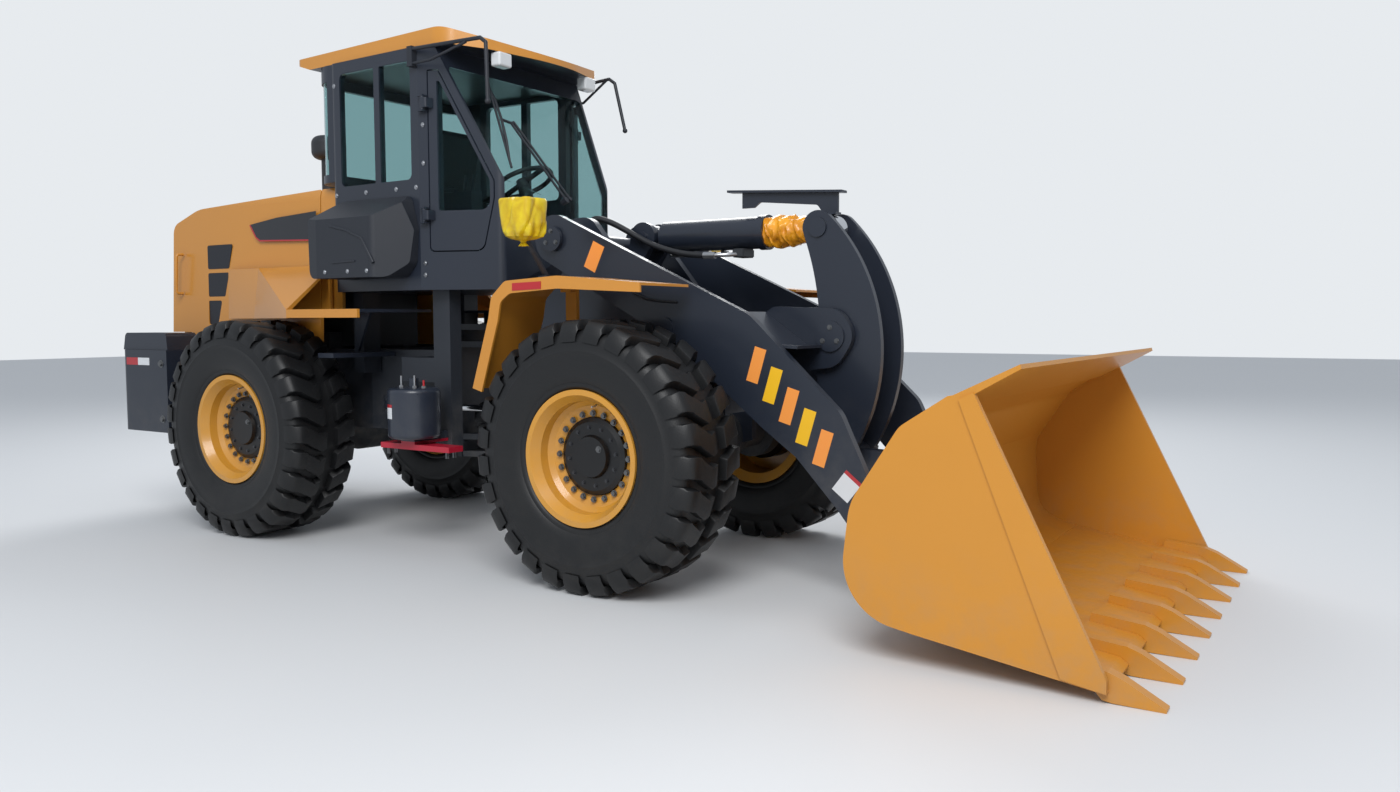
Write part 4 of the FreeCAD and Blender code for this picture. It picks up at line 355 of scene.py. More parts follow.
c_edge = mask_math(crumple, "MULTIPLY", c_cells.outputs["Distance"], 1.6, -100, -200)
c_height = mask_math(crumple, "ADD", c_edge, mask_math(crumple, "MULTIPLY", c_small.outputs["Fac"], 0.25, -100, 100), 100, -50)
crumple.links.new(c_height, c_out.inputs["Height"])
# Painted shade: near the crease lines the colour turns to the darker crease colour, and away from them it is the
# film's own colour.
c_crease_shade = add_node(crumple, "ShaderNodeMapRange", 100, 200)
c_crease_shade.inputs["From Min"].default_value = 0.08
c_crease_shade.inputs["From Max"].default_value = 0.5
c_crease_shade_mix = add_node(crumple, "ShaderNodeMix", 350, 150, data_type="RGBA")
crumple.links.new(c_height, c_crease_shade.inputs["Value"])
crumple.links.new(c_crease_shade.outputs[0], c_crease_shade_mix.inputs["Factor"])
crumple.links.new(c_in.outputs["Crease Shade Color"], c_crease_shade_mix.inputs["A"])
crumple.links.new(c_in.outputs["Color"], c_crease_shade_mix.inputs["B"])
crumple.links.new(c_crease_shade_mix.outputs["Result"], c_out.inputs["Color"])


def film(name, color, crease_shade_color, scale):
    material = bpy.data.materials.new(name)
    material.use_nodes = True
    tree = material.node_tree
    shader = tree.nodes["Principled BSDF"]
    shader.inputs["Roughness"].default_value = 0.34
    shader.inputs["Coat Weight"].default_value = 0.25
    creases = add_node(tree, "ShaderNodeGroup", -500, 0)
    creases.node_tree = crumple
    creases.inputs["Crease Scale"].default_value = scale
    creases.inputs["Color"].default_value = (*color, 1.0)
    creases.inputs["Crease Shade Color"].default_value = (*crease_shade_color, 1.0)
    relief = add_node(tree, "ShaderNodeBump", -250, -250)
    relief.inputs["Strength"].default_value = 0.28
    relief.inputs["Distance"].default_value = 0.012
    tree.links.new(creases.outputs["Height"], relief.inputs["Height"])
    tree.links.new(relief.outputs["Normal"], shader.inputs["Normal"])
    tree.links.new(creases.outputs["Color"], shader.inputs["Base Color"])
    return material


# Each film gets its own colour and a darker one that is painted shade in its creases.
bag_film = film("bag_film", (0.70, 0.53, 0.008), (0.56, 0.36, 0.004), 8.0)
wrap_film = film("wrap_film", (0.82, 0.36, 0.012), (0.60, 0.22, 0.008), 5.0)
hose_rubber = coated("hose_rubber", (0.012, 0.013, 0.016), 0.5, grain=300.0, bump=0.1, dust=0.1)
zinc = coated("zinc", (0.42, 0.43, 0.45), 0.32, metallic=0.9, bump=0.02, dust=0.15)
orange_mark = coated("orange_mark", (0.85, 0.30, 0.055), 0.4, bump=0.0, dust=0.1)
yellow_mark = coated("yellow_mark", (0.83, 0.47, 0.012), 0.4, bump=0.0, dust=0.1)
white_mark = coated("white_mark", (0.66, 0.68, 0.70), 0.4, bump=0.0, dust=0.1)
red_mark = coated("red_mark", (0.42, 0.012, 0.018), 0.3, bump=0.0, coat=0.4, dust=0.1)
badge_black = coated("badge_black", (0.009, 0.010, 0.014), 0.3, bump=0.0, coat=0.3, dust=0.05)
print("materials:", len(bpy.data.materials))


# %% Tank paint: the skid below the tank is red
tank_enamel = coated("tank_enamel", (0.019, 0.025, 0.039), 0.36, coat=0.2, dust=0.2)
low_mask = bpy.data.node_groups.new("below_a_height", "ShaderNodeTree")
group_sockets(low_mask, [("Height", "NodeSocketFloat", 0.722)], [("Below", "NodeSocketFloat")])
l_in = add_node(low_mask, "NodeGroupInput", -500, 0)
l_out = add_node(low_mask, "NodeGroupOutput", 200, 0)
l_place = add_node(low_mask, "ShaderNodeTexCoord", -500, -250)
l_split = add_node(low_mask, "ShaderNodeSeparateXYZ", -250, -250)
low_mask.links.new(l_place.outputs["Object"], l_split.inputs[0])
l_below = mask_math(low_mask, "LESS_THAN", l_split.outputs["Z"], l_in.outputs["Height"], 0, 0)
low_mask.links.new(l_below, l_out.inputs["Below"])
tree = tank_enamel.node_tree
skid_mask = add_node(tree, "ShaderNodeGroup", -500, 300)
skid_mask.node_tree = low_mask
skid_paint = add_node(tree, "ShaderNodeMix", -150, 250, data_type="RGBA")
skid_paint.inputs["B"].default_value = (0.42, 0.008, 0.028, 1.0)
tree.links.new(skid_mask.outputs["Below"], skid_paint.inputs["Factor"])
tree.links.new(tree.nodes["Principled BSDF"].inputs["Base Color"].links[0].from_socket, skid_paint.inputs["A"])
tree.links.new(skid_paint.outputs["Result"], tree.nodes["Principled BSDF"].inputs["Base Color"])
print("tank paint:", len(tree.nodes), "nodes")


# %% [markdown]
# The roof is yellow outside and has a dark liner below. It is one solid, so the liner is picked by
# the way that a face points: what looks down is dark.

# %% Roof paint with a dark underside
roof_enamel = coated("roof_enamel", (0.56, 0.235, 0.030), 0.32, coat=0.35, dust=0.12)
down_mask = bpy.data.node_groups.new("faces_down", "ShaderNodeTree")
group_sockets(down_mask, [("Limit", "NodeSocketFloat", -0.6)], [("Down", "NodeSocketFloat")])
d_in = add_node(down_mask, "NodeGroupInput", -500, 0)
d_out = add_node(down_mask, "NodeGroupOutput", 200, 0)
d_place = add_node(down_mask, "ShaderNodeTexCoord", -500, -250)
d_split = add_node(down_mask, "ShaderNodeSeparateXYZ", -250, -250)
down_mask.links.new(d_place.outputs["Normal"], d_split.inputs[0])
d_below = mask_math(down_mask, "LESS_THAN", d_split.outputs["Z"], d_in.outputs["Limit"], 0, 0)
down_mask.links.new(d_below, d_out.inputs["Down"])
tree = roof_enamel.node_tree
liner_mask = add_node(tree, "ShaderNodeGroup", -500, 300)
liner_mask.node_tree = down_mask
liner_paint = add_node(tree, "ShaderNodeMix", -150, 250, data_type="RGBA")
liner_paint.inputs["B"].default_value = (0.019, 0.025, 0.039, 1.0)
tree.links.new(liner_mask.outputs["Down"], liner_paint.inputs["Factor"])
tree.links.new(tree.nodes["Principled BSDF"].inputs["Base Color"].links[0].from_socket, liner_paint.inputs["A"])
tree.links.new(liner_paint.outputs["Result"], tree.nodes["Principled BSDF"].inputs["Base Color"])
print("roof paint:", len(tree.nodes), "nodes")

# %% Dress the CAD pieces
finishes = {
    yellow_enamel: ["hood", "hood_cowl", "rear_fenders", "front_fenders"],
    roof_enamel: ["cab_roof"],
    bucket_enamel: ["bucket", "bucket_teeth"],
    dark_enamel: ["boom", "bellcrank", "bucket_link", "front_frame", "counterweight", "tilt_tube", "lift_tubes",
                  "steer_tube_left", "steer_tube_right", "cab_shell", "cab_door_left", "cab_door_right",
                  "fuel_tank", "ladder", "side_decks", "level_bar", "tail_lamps"],
    frame_enamel: ["rear_frame"],
    tank_enamel: ["air_tank"],
    casting: ["front_axle", "rear_axle", "engine", "transmission", "air_intake"],
    moulded_black: ["side_boxes", "steering_column", "mirrors", "headlamps"],
    grille_paint: ["hood_louvres"],
    seat_vinyl: ["seat"],
    rod_chrome: ["tilt_rod", "lift_rods", "steer_rod_left", "steer_rod_right"],
    lamp_plastic: ["work_lamps"],
    cab_tint: ["cab_glass", "door_glass_left", "door_glass_right"],
    tyre_rubber: ["tyre_front_left", "tyre_front_right", "tyre_rear_left", "tyre_rear_right"],
}
finishes[wheel_enamel] = ["wheel_" + place for place in ("front_left", "front_right", "rear_left", "rear_right")]
for material, names in finishes.items():
    for name in names:
        mesh = nodes[name].data
        mesh.materials.clear()
        mesh.materials.append(material)
undressed = sorted(set(nodes) - {n for names in finishes.values() for n in names})
print("undressed nodes:", undressed)

# %% [markdown]
# ## Making pieces
# A piece is a mesh in the machine's own frame, a finish, and the name of the body that it moves
# with. One helper does the three together, so that no piece is left without any of them. Edges
# that turn by less than the given angle are shaded round.

# %% A helper for pieces
middle_shift = 0.645797


def piece(name, mesh, material, body, smooth=35.0, keep_slots=False):
    mesh.name = name
    if not keep_slots:
        mesh.materials.clear()
        mesh.materials.append(material)
    thing = bpy.data.objects.new(name, mesh)
    bpy.context.scene.collection.objects.link(thing)
    mesh.shade_smooth()
    mesh.set_sharp_from_angle(angle=math.radians(smooth))
    if body is not None:
        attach(thing, body)
    return thing


def closed_mesh(name, work):
    bmesh.ops.remove_doubles(work, verts=work.verts, dist=0.00005)
    bmesh.ops.recalc_face_normals(work, faces=work.faces)
    mesh = bpy.data.meshes.new(name)
    work.to_mesh(mesh)
    work.free()
    return mesh


def joined(name, meshes):
    work = bmesh.new()
    for mesh in meshes:
        work.from_mesh(mesh)
    mesh = bpy.data.meshes.new(name)
    work.to_mesh(mesh)
    work.free()
    return mesh


# %% [markdown]
# Many parts of the machine repeat one shape: lugs round a tyre, nuts round a hub, bolts along a
# flange. Two Geometry Nodes trees do this. The first turns the object's own mesh a number of times
# about the y axis. The second sets a hexagon bolt, washer included, on each point of a mesh, and
# lets it face the way that the point's stored direction says. Both end as plain meshes.

# %% The turning tree
def finish_tree(tree, links_from, x):
    realize = add_node(tree, "GeometryNodeRealizeInstances", x, 0)
    paint = add_node(tree, "GeometryNodeSetMaterial", x + 200, 0)
    tree.links.new(links_from, realize.inputs[0])
    tree.links.new(realize.outputs[0], paint.inputs["Geometry"])
    tree.links.new(tree.nodes["Group Input"].outputs["Material"], paint.inputs["Material"])
    tree.links.new(paint.outputs[0], tree.nodes["Group Output"].inputs[0])


def geometry_tree(name, inputs):
    tree = bpy.data.node_groups.new(name, "GeometryNodeTree")
    tree.interface.new_socket("Geometry", in_out="INPUT", socket_type="NodeSocketGeometry")
    tree.interface.new_socket("Geometry", in_out="OUTPUT", socket_type="NodeSocketGeometry")
    for label, kind, value in inputs + [("Material", "NodeSocketMaterial", None)]:
        socket = tree.interface.new_socket(label, in_out="INPUT", socket_type=kind)
        if value is not None:
            socket.default_value = value
    add_node(tree, "NodeGroupInput", -800, 0)
    add_node(tree, "NodeGroupOutput", 900, 0)
    return tree


turning = geometry_tree("turned_pattern", [("Count", "NodeSocketInt", 12)])
t_in = turning.nodes["Group Input"]
t_points = add_node(turning, "GeometryNodePoints", -550, 150)
turning.links.new(t_in.outputs["Count"], t_points.inputs["Count"])
t_index = add_node(turning, "GeometryNodeInputIndex", -700, -250)
t_step = add_node(turning, "ShaderNodeMath", -550, -400, operation="DIVIDE")
t_step.inputs[0].default_value = 2 * math.pi
turning.links.new(t_in.outputs["Count"], t_step.inputs[1])
t_angle = add_node(turning, "ShaderNodeMath", -350, -250, operation="MULTIPLY")
turning.links.new(t_index.outputs[0], t_angle.inputs[0])
turning.links.new(t_step.outputs[0], t_angle.inputs[1])
t_turn = add_node(turning, "ShaderNodeCombineXYZ", -150, -250)
turning.links.new(t_angle.outputs[0], t_turn.inputs["Y"])
t_copy = add_node(turning, "GeometryNodeInstanceOnPoints", 50, 0)
turning.links.new(t_points.outputs[0], t_copy.inputs["Points"])
turning.links.new(t_in.outputs["Geometry"], t_copy.inputs["Instance"])
turning.links.new(t_turn.outputs[0], t_copy.inputs["Rotation"])
finish_tree(turning, t_copy.outputs[0], 300)
print("tree:", turning.name)

# %% The bolt tree
bolting = geometry_tree("bolts_on_points", [("Head Radius", "NodeSocketFloat", 0.012),
                                            ("Head Height", "NodeSocketFloat", 0.009),
                                            ("Washer Radius", "NodeSocketFloat", 0.016)])
b_in = bolting.nodes["Group Input"]
b_head = add_node(bolting, "GeometryNodeMeshCylinder", -550, 300)
b_head.inputs["Vertices"].default_value = 6
b_washer = add_node(bolting, "GeometryNodeMeshCylinder", -550, 0)
b_washer.inputs["Vertices"].default_value = 14
b_washer.inputs["Depth"].default_value = 0.004
bolting.links.new(b_in.outputs["Head Radius"], b_head.inputs["Radius"])
bolting.links.new(b_in.outputs["Head Height"], b_head.inputs["Depth"])
bolting.links.new(b_in.outputs["Washer Radius"], b_washer.inputs["Radius"])
b_lift = add_node(bolting, "ShaderNodeMath", -550, -200, operation="MULTIPLY")
b_lift.inputs[1].default_value = 0.5
bolting.links.new(b_in.outputs["Head Height"], b_lift.inputs[0])
b_raise = add_node(bolting, "ShaderNodeCombineXYZ", -380, -200)
bolting.links.new(b_lift.outputs[0], b_raise.inputs["Z"])
b_move = add_node(bolting, "GeometryNodeTransform", -300, 300)
bolting.links.new(b_head.outputs["Mesh"], b_move.inputs["Geometry"])
bolting.links.new(b_raise.outputs[0], b_move.inputs["Translation"])
b_join = add_node(bolting, "GeometryNodeJoinGeometry", -100, 200)
bolting.links.new(b_move.outputs[0], b_join.inputs[0])
bolting.links.new(b_washer.outputs["Mesh"], b_join.inputs[0])
b_facing = add_node(bolting, "GeometryNodeInputNamedAttribute", -300, -400, data_type="FLOAT_VECTOR")
b_facing.inputs["Name"].default_value = "facing"
b_align = add_node(bolting, "FunctionNodeAlignRotationToVector", -100, -300, axis="Z")
bolting.links.new(b_facing.outputs["Attribute"], b_align.inputs["Vector"])
b_copy = add_node(bolting, "GeometryNodeInstanceOnPoints", 100, 0)
bolting.links.new(b_in.outputs["Geometry"], b_copy.inputs["Points"])
bolting.links.new(b_join.outputs[0], b_copy.inputs["Instance"])
bolting.links.new(b_align.outputs[0], b_copy.inputs["Rotation"])
finish_tree(bolting, b_copy.outputs[0], 300)
print("tree:", bolting.name)


# %% Run a tree and keep its plain mesh
def grown(name, mesh, tree, material, **values):
    seed = bpy.data.objects.new(name + "_seed", mesh)
    bpy.context.scene.collection.objects.link(seed)
    modifier = seed.modifiers.new("pattern", "NODES")
    modifier.node_group = tree
    sockets = {s.name: s.identifier for s in tree.interface.items_tree if s.item_type == "SOCKET"
               and s.in_out == "INPUT"}
    modifier[sockets["Material"]] = material
    for label, value in values.items():
        modifier[sockets[label.replace("_", " ")]] = value
    graph = bpy.context.evaluated_depsgraph_get()
    result = bpy.data.meshes.new_from_object(seed.evaluated_get(graph))
    bpy.data.objects.remove(seed)
    return result


def bolts(name, places, body, radius=0.012, height=0.009, washer=0.016, material=None):
    mesh = bpy.data.meshes.new(name)
    mesh.from_pydata([place for place, facing in places], [], [])
    directions = mesh.attributes.new("facing", "FLOAT_VECTOR", "POINT")
    for i, (place, facing) in enumerate(places):
        directions.data[i].vector = facing
    paint = material or bolt_steel
    result = grown(name, mesh, bolting, paint, Head_Radius=radius, Head_Height=height, Washer_Radius=washer)
    return piece(name, result, paint, body, smooth=25.0, keep_slots=True)
# %% [markdown]
# ## Tyres
# A loader's tyre is a stiff, tall loop of rubber with deep lugs. Here the carcass is one profile
# turned about the axle: bead, rim guard, bulging side, round shoulder and crown. One lug is built as
# a bent block that leans forward to the middle and hangs over the shoulder, its edges are broken
# with a bevel, and the turning tree sets it round the carcass.

# %% Turn the carcass
wheel_radius = 0.745
tread_floor = 0.697
lug_count = 27
wheel_centres = {"front_left": (1.525 - middle_shift, 0.940), "front_right": (1.525 - middle_shift, -0.940),
                 "rear_left": (-1.525 - middle_shift, 0.940), "rear_right": (-1.525 - middle_shift, -0.940)}
side_profile = [(0.323, 0.184), (0.350, 0.205), (0.3735, 0.2085), (0.384, 0.222), (0.397, 0.230), (0.408, 0.2285),
                (0.420, 0.2375), (0.450, 0.2455), (0.500, 0.2545), (0.545, 0.2575), (0.570, 0.2575), (0.574, 0.2595),
                (0.580, 0.2595), (0.584, 0.2565), (0.615, 0.2535), (0.640, 0.2485), (0.660, 0.2405), (0.680, 0.2235),
                (0.692, 0.200), (0.6965, 0.160), (0.697, 0.100), (0.697, 0.0)]


def turned_shell(name, profile, steps, closed=True):
    work = bmesh.new()
    rings = []
    for i in range(steps):
        turn = 2 * math.pi * i / steps
        rings.append([work.verts.new((r * math.cos(turn), y, r * math.sin(turn))) for r, y in profile])
    count = len(profile)
    for i in range(steps):
        here, ahead = rings[i], rings[(i + 1) % steps]
        for j in range(count if closed else count - 1):
            k = (j + 1) % count
            work.faces.new((here[j], here[k], ahead[k], ahead[j]))
    return closed_mesh(name, work)


whole_profile = side_profile + [(r, -y) for r, y in reversed(side_profile[:-1])]
carcass = turned_shell("carcass", whole_profile, 144)
print("carcass:", len(carcass.polygons), "faces")

# %% Shape the two lugs of a pitch
lug_pitch = 360.0 / lug_count
lug_tip = 0.045
# y from the tyre's middle, outer radius, lean and width in degrees
lug_stations = [(0.2590, 0.640, 0.3, 7.6), (0.2560, 0.676, 0.2, 8.0), (0.2440, 0.712, 0.1, 8.3), (0.2240, 0.737, 0.0, 8.5),
                (0.2020, 0.745, 0.0, 8.7), (0.1600, 0.745, -0.6, 8.8), (0.1500, 0.745, -1.4, 8.6)]


def lean_at(y):
    # the lug's lean in degrees between the shoulder's straight run and its tip near the middle
    if y > 0.150:
        return None
    return -1.4 - 4.4 * (0.150 - y) / (0.150 - lug_tip)


def lug(side, far_end, turn):
    work = bmesh.new()
    stations = list(lug_stations)
    y = 0.120
    while y > far_end:
        lean = lean_at(y) if y >= lug_tip else -5.8 + 4.6 * (lug_tip - y) / 0.11
        stations.append((y, wheel_radius, lean, 8.6))
        y -= 0.0375
    rings = []
    for y, radius, lean, width in stations:
        floor = min(radius - 0.012, tread_floor - 0.006)
        ring = []
        for r, edge, draft in ((floor, -0.5, -0.9), (radius, -0.5, 0.0), (radius, 0.5, 0.0), (floor, 0.5, 0.9)):
            angle = math.radians(turn + lean + width * edge + draft * 0.9)
            ring.append(work.verts.new((r * math.cos(angle), side * y, r * math.sin(angle))))
        rings.append(ring)
    for here, ahead in zip(rings, rings[1:]):
        for j in range(4):
            k = (j + 1) % 4
            work.faces.new((here[j], here[k], ahead[k], ahead[j]))
    work.faces.new(rings[0])
    work.faces.new(rings[-1][::-1])
    bmesh.ops.recalc_face_normals(work, faces=work.faces)
    sharp = [e for e in work.edges if e.calc_face_angle(0) > math.radians(35)
             and max(math.hypot(v.co.x, v.co.z) for v in e.verts) > 0.70]
    bmesh.ops.bevel(work, geom=sharp, offset=0.006, segments=2, affect="EDGES", profile=0.6)
    return closed_mesh("lug", work)


def tyre_mesh(name, side, material):
    outer = lug(side, 0.006, 0.0)
    inner = lug(-side, 0.052, lug_pitch * 0.07)
    lugs = grown(name + "_lugs", joined("pitch", [outer, inner]), turning, material, Count=lug_count)
    return joined(name, [carcass, lugs])


# %% Set the tyres on their rims
for place, (x, y) in wheel_centres.items():
    rubber = tyre_mesh("tread_" + place, -1 if y < 0 else 1, tyre_rubber)
    rubber.transform(Matrix.Translation((x, y, wheel_radius)))
    tread = piece("tread_" + place, rubber, tyre_rubber, "wheel_" + place, smooth=40.0)
    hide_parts("tyre_" + place)
print("tyres:", lug_count, "pitches of lugs,", len(rubber.polygons), "faces each")
# %% [markdown]
# ## Bags over the lamps
# Each headlamp hides in a bag of film that is tied round its stalk. The bag follows the lamp's box
# at the top, hangs free lower down, and is gathered in pleats at the tie. It is lofted from rings:
# each ring is a rounded box whose pleats grow deeper towards the tie, with creases added by a
# ridged noise, and a skirt of film below the tie.

# %% Loft a bag
from mathutils import noise

lamp_place = Vector((0.975 - middle_shift, 0.960, 2.060))
# height above the tie, half length along x, half width along y, roundness from 0 (box) to 1
bag_rings = [(0.000, 0.014, 0.014, 1.0), (0.008, 0.024, 0.022, 1.0), (0.016, 0.064, 0.062, 0.9), (0.030, 0.093, 0.090, 0.7),
             (0.055, 0.106, 0.103, 0.55), (0.095, 0.113, 0.107, 0.42), (0.150, 0.117, 0.109, 0.34), (0.205, 0.118, 0.110, 0.26),
             (0.234, 0.117, 0.108, 0.22), (0.245, 0.110, 0.101, 0.22), (0.249, 0.080, 0.074, 0.30), (0.250, 0.020, 0.018, 0.8)]
bag_tie_z = 1.929


def bag_point(turn, height, half_x, half_y, round_part, side, seed):
    c, s = math.cos(turn), math.sin(turn)
    power = 2.0 + 5.0 * (1.0 - round_part)
    reach = (abs(c) ** power + abs(s) ** power) ** (-1.0 / power)
    x, y = reach * c, reach * s
    low = max(0.0, 1.0 - height / 0.16)
    pleats = 0.10 * low * math.cos(9 * turn + 2.0 * math.sin(turn + seed))
    long_folds = -0.10 * (1.0 - abs(math.sin(2.5 * turn + 9.0 * height + seed))) ** 3
    at = Vector((c * 0.9, s * 0.9, height * 6.0 + seed * 3.1))
    creases = -0.15 * abs(noise.noise(at * 1.1)) + long_folds
    swell = 1.0 + pleats + creases
    lift = 0.010 * noise.noise(at * 2.3 + Vector((7.0, 0.0, 0.0))) * min(1.0, height / 0.08)
    return Vector((x * half_x * swell, side * y * half_y * swell, height + min(lift, 0.0)))


def lamp_bag(side, seed):
    work = bmesh.new()
    rings = []
    around = 96
    heights = []
    for a, b in zip(bag_rings, bag_rings[1:]):
        steps = max(1, round((b[0] - a[0]) / 0.010))
        heights += [[p + (q - p) * i / steps for p, q in zip(a, b)] for i in range(steps)]
    heights.append(list(bag_rings[-1]))
    # the skirt below the tie opens again
    skirt = [(-0.022, 0.030, 0.026, 0.9), (-0.012, 0.022, 0.020, 1.0), (-0.005, 0.016, 0.016, 1.0)]
    for height, half_x, half_y, round_part in skirt + [tuple(h) for h in heights]:
        rings.append([work.verts.new(bag_point(2 * math.pi * i / around, height, half_x, half_y, round_part, side, seed))
                      for i in range(around)])
    for here, ahead in zip(rings, rings[1:]):
        for i in range(around):
            k = (i + 1) % around
            work.faces.new((here[i], here[k], ahead[k], ahead[i]))
    work.faces.new(rings[-1])
    bmesh.ops.recalc_face_normals(work, faces=work.faces)
    mesh = closed_mesh("bag", work)
    mesh.transform(Matrix.Translation((lamp_place.x, side * lamp_place.y, bag_tie_z)))
    return mesh


for side, name, seed in ((-1, "lamp_bag_right", 0.7), (1, "lamp_bag_left", 2.9)):
    bag = piece(name, lamp_bag(side, seed), bag_film, "front", smooth=28.0)
    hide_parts("lamp_bags")
    measure = bmesh.new()
    measure.from_mesh(bag.data)
    film_area = sum(f.calc_area() for f in measure.faces)
    measure.free()
    print(name, "has", round(film_area, 3), "square metres of film")

# %% [markdown]
# ## The wrap on the rod
# The tilt rod is wound in orange film between the cylinder and the bellcrank. The winding is a tube
# of rings whose radius rises and falls along slanting folds, fuller at the cylinder's end.

# %% Wind the rod
wrap_start = 2.0445 - middle_shift
wrap_length = 0.276
rod_height = 2.000


def wrap_radius(along, turn):
    full = 0.091 + 0.007 * math.sin(math.pi * min(1.0, along * 1.5)) - 0.010 * along
    fold = math.sin(2.0 * turn + 13.0 * along) ** 2
    sharp = 1.0 - abs(math.sin(1.0 * turn - 9.0 * along + 0.8))
    at = Vector((math.cos(turn) * 1.3, math.sin(turn) * 1.3, along * 5.0))
    small = abs(noise.noise(at * 1.0)) + 0.2 * abs(noise.noise(at * 2.2))
    return min(full + 0.011 * sharp ** 4 + 0.003 * fold - 0.022 * small, 0.1000)


work = bmesh.new()
rings = []
around = 96
steps = 64
for i in range(steps + 1):
    along = i / steps
    ring = []
    for j in range(around):
        turn = 2 * math.pi * j / around
        radius = wrap_radius(along, turn)
        slip = 0.006 * noise.noise(Vector((turn * 2.0, along * 3.0, 4.0))) * math.sin(math.pi * along)
        ring.append(work.verts.new((wrap_start + wrap_length * along + slip, radius * math.cos(turn),
                                    rod_height + radius * math.sin(turn))))
    rings.append(ring)
for end, at_x in ((rings[0], wrap_start), (rings[-1], wrap_start + wrap_length)):
    inner = []
    for vertex in end:
        offset = vertex.co - Vector((at_x, 0.0, rod_height))
        inner.append(work.verts.new((at_x, offset.y * 0.62, rod_height + offset.z * 0.62)))
    for j in range(around):
        k = (j + 1) % around
        work.faces.new((end[j], end[k], inner[k], inner[j]))
for here, ahead in zip(rings, rings[1:]):
    for j in range(around):
        k = (j + 1) % around
        work.faces.new((here[j], here[k], ahead[k], ahead[j]))
wrap = piece("rod_film", closed_mesh("rod_film", work), wrap_film, "tilt_tube", smooth=30.0)
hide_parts("rod_wrap")
print("wrap:", len(wrap.data.polygons), "faces")

# %% [markdown]
# ## Marks, plates and reflectors
# Paint marks and plates are thin. Each is an outline drawn on the plane of the panel that carries
# it, given a millimetre of thickness, and its rim is bevelled by nothing more than the shading. The
# stripes on the arm are plain slanted bars in two colours. Plates are blank.

# %% A flat plate from an outline
def flat_plate(name, outline, panel_y, thickness, material, body):
    # outline points are (x, z); the plate lies on the plane y = panel_y and grows away from the middle
    side = -1 if panel_y < 0 else 1
    work = bmesh.new()
    near = [work.verts.new((x, panel_y, z)) for x, z in outline]
    far = [work.verts.new((x, panel_y + side * thickness, z)) for x, z in outline]
    work.faces.new(near)
    work.faces.new(far)
    for i in range(len(outline)):
        k = (i + 1) % len(outline)
        work.faces.new((near[i], near[k], far[k], far[i]))
    return piece(name, closed_mesh(name, work), material, body, smooth=20.0)


def tilted(centre, width, height, degrees):
    # the corners of a rectangle that is turned in its own plane
    c, s = math.cos(math.radians(degrees)), math.sin(math.radians(degrees))
    corners = ((-0.5, -0.5), (0.5, -0.5), (0.5, 0.5), (-0.5, 0.5))
    return [(centre[0] - middle_shift + u * width * c - v * height * s, centre[1] + u * width * s + v * height * c)
            for u, v in corners]


# %% Stripes on the arm
arm_face = 0.5702
bar_width = 0.070
bar_rise = 0.185
bar_lean = 0.055
bar_first = Vector((2.215, 1.250))
bar_step = Vector((0.100, -0.107))
for side, word in ((-1, "right"), (1, "left")):
    for i in range(5):
        low = bar_first + bar_step * i
        x, z = low.x - middle_shift, low.y - bar_rise / 2
        bar = [(x, z), (x + bar_width, z - 0.020), (x + bar_width + bar_lean, z + bar_rise - 0.020),
               (x + bar_lean, z + bar_rise)]
        paint = orange_mark if i % 2 == 0 else yellow_mark
        flat_plate("arm_bar_" + word + "_" + str(i + 1), bar, side * arm_face, 0.0008, paint, "boom")
print("stripes:", 10)

# %% Blank plates on the arm, reflectors and counterweight strips
for side, word in ((-1, "right"), (1, "left")):
    flat_plate("arm_plate_" + word, tilted((1.178, 1.858), 0.090, 0.165, -26.0), side * arm_face, 0.001, orange_mark, "boom")
    flat_plate("nose_plate_" + word, tilted((2.812, 0.617), 0.112, 0.118, -38.0), side * arm_face, 0.001, white_mark, "boom")
    flat_plate("nose_plate_rim_" + word, tilted((2.851, 0.667), 0.112, 0.020, -38.0), side * arm_face, 0.0012, red_mark, "boom")
    reflector = [(1.012 - middle_shift, 1.650), (1.222 - middle_shift, 1.657), (1.223 - middle_shift, 1.698),
                 (1.013 - middle_shift, 1.692)]
    flat_plate("fender_reflector_" + word, reflector, side * 1.1002, 0.003, red_mark, "front")
    for name, x0, x1, paint in (("red", -2.940, -2.790, red_mark), ("white", -2.788, -2.640, white_mark)):
        strip = [(x0 - middle_shift, 1.157), (x1 - middle_shift, 1.157), (x1 - middle_shift, 1.212), (x0 - middle_shift, 1.212)]
        flat_plate("weight_" + name + "_strip_" + word, strip, side * 1.0602, 0.001, paint, "rear")

# %% [markdown]
# The hood's side carries a dark badge field with a thin red line below it. On this machine it is
# left bare. It follows the shape of the hood, which leans at the top, so it stays on the flat part.

# %% Bare badge field
badge_face = 0.6602
badge = [(-1.949, 2.190), (-1.880, 2.096), (-1.838, 2.072), (-1.205, 2.052), (-1.205, 2.250), (-1.640, 2.226)]
badge_line = [(-1.957, 2.186), (-1.889, 2.092), (-1.844, 2.064), (-1.205, 2.044), (-1.205, 2.054), (-1.838, 2.074),
              (-1.879, 2.098), (-1.943, 2.189)]
for side, word in ((-1, "right"), (1, "left")):
    flat_plate("badge_field_" + word, [(x - middle_shift, z) for x, z in badge], side * badge_face, 0.0012, badge_black, "hood")
    flat_plate("badge_line_" + word, [(x - middle_shift, z) for x, z in badge_line], side * badge_face, 0.0016, red_mark, "hood")

# %% [markdown]
# ## Bent tubes and hoses
# Handles, wiper arms, pipes and hoses are a curve with a round section. The curve is turned into a
# mesh at once, so that its place lies in the mesh as for every other piece.

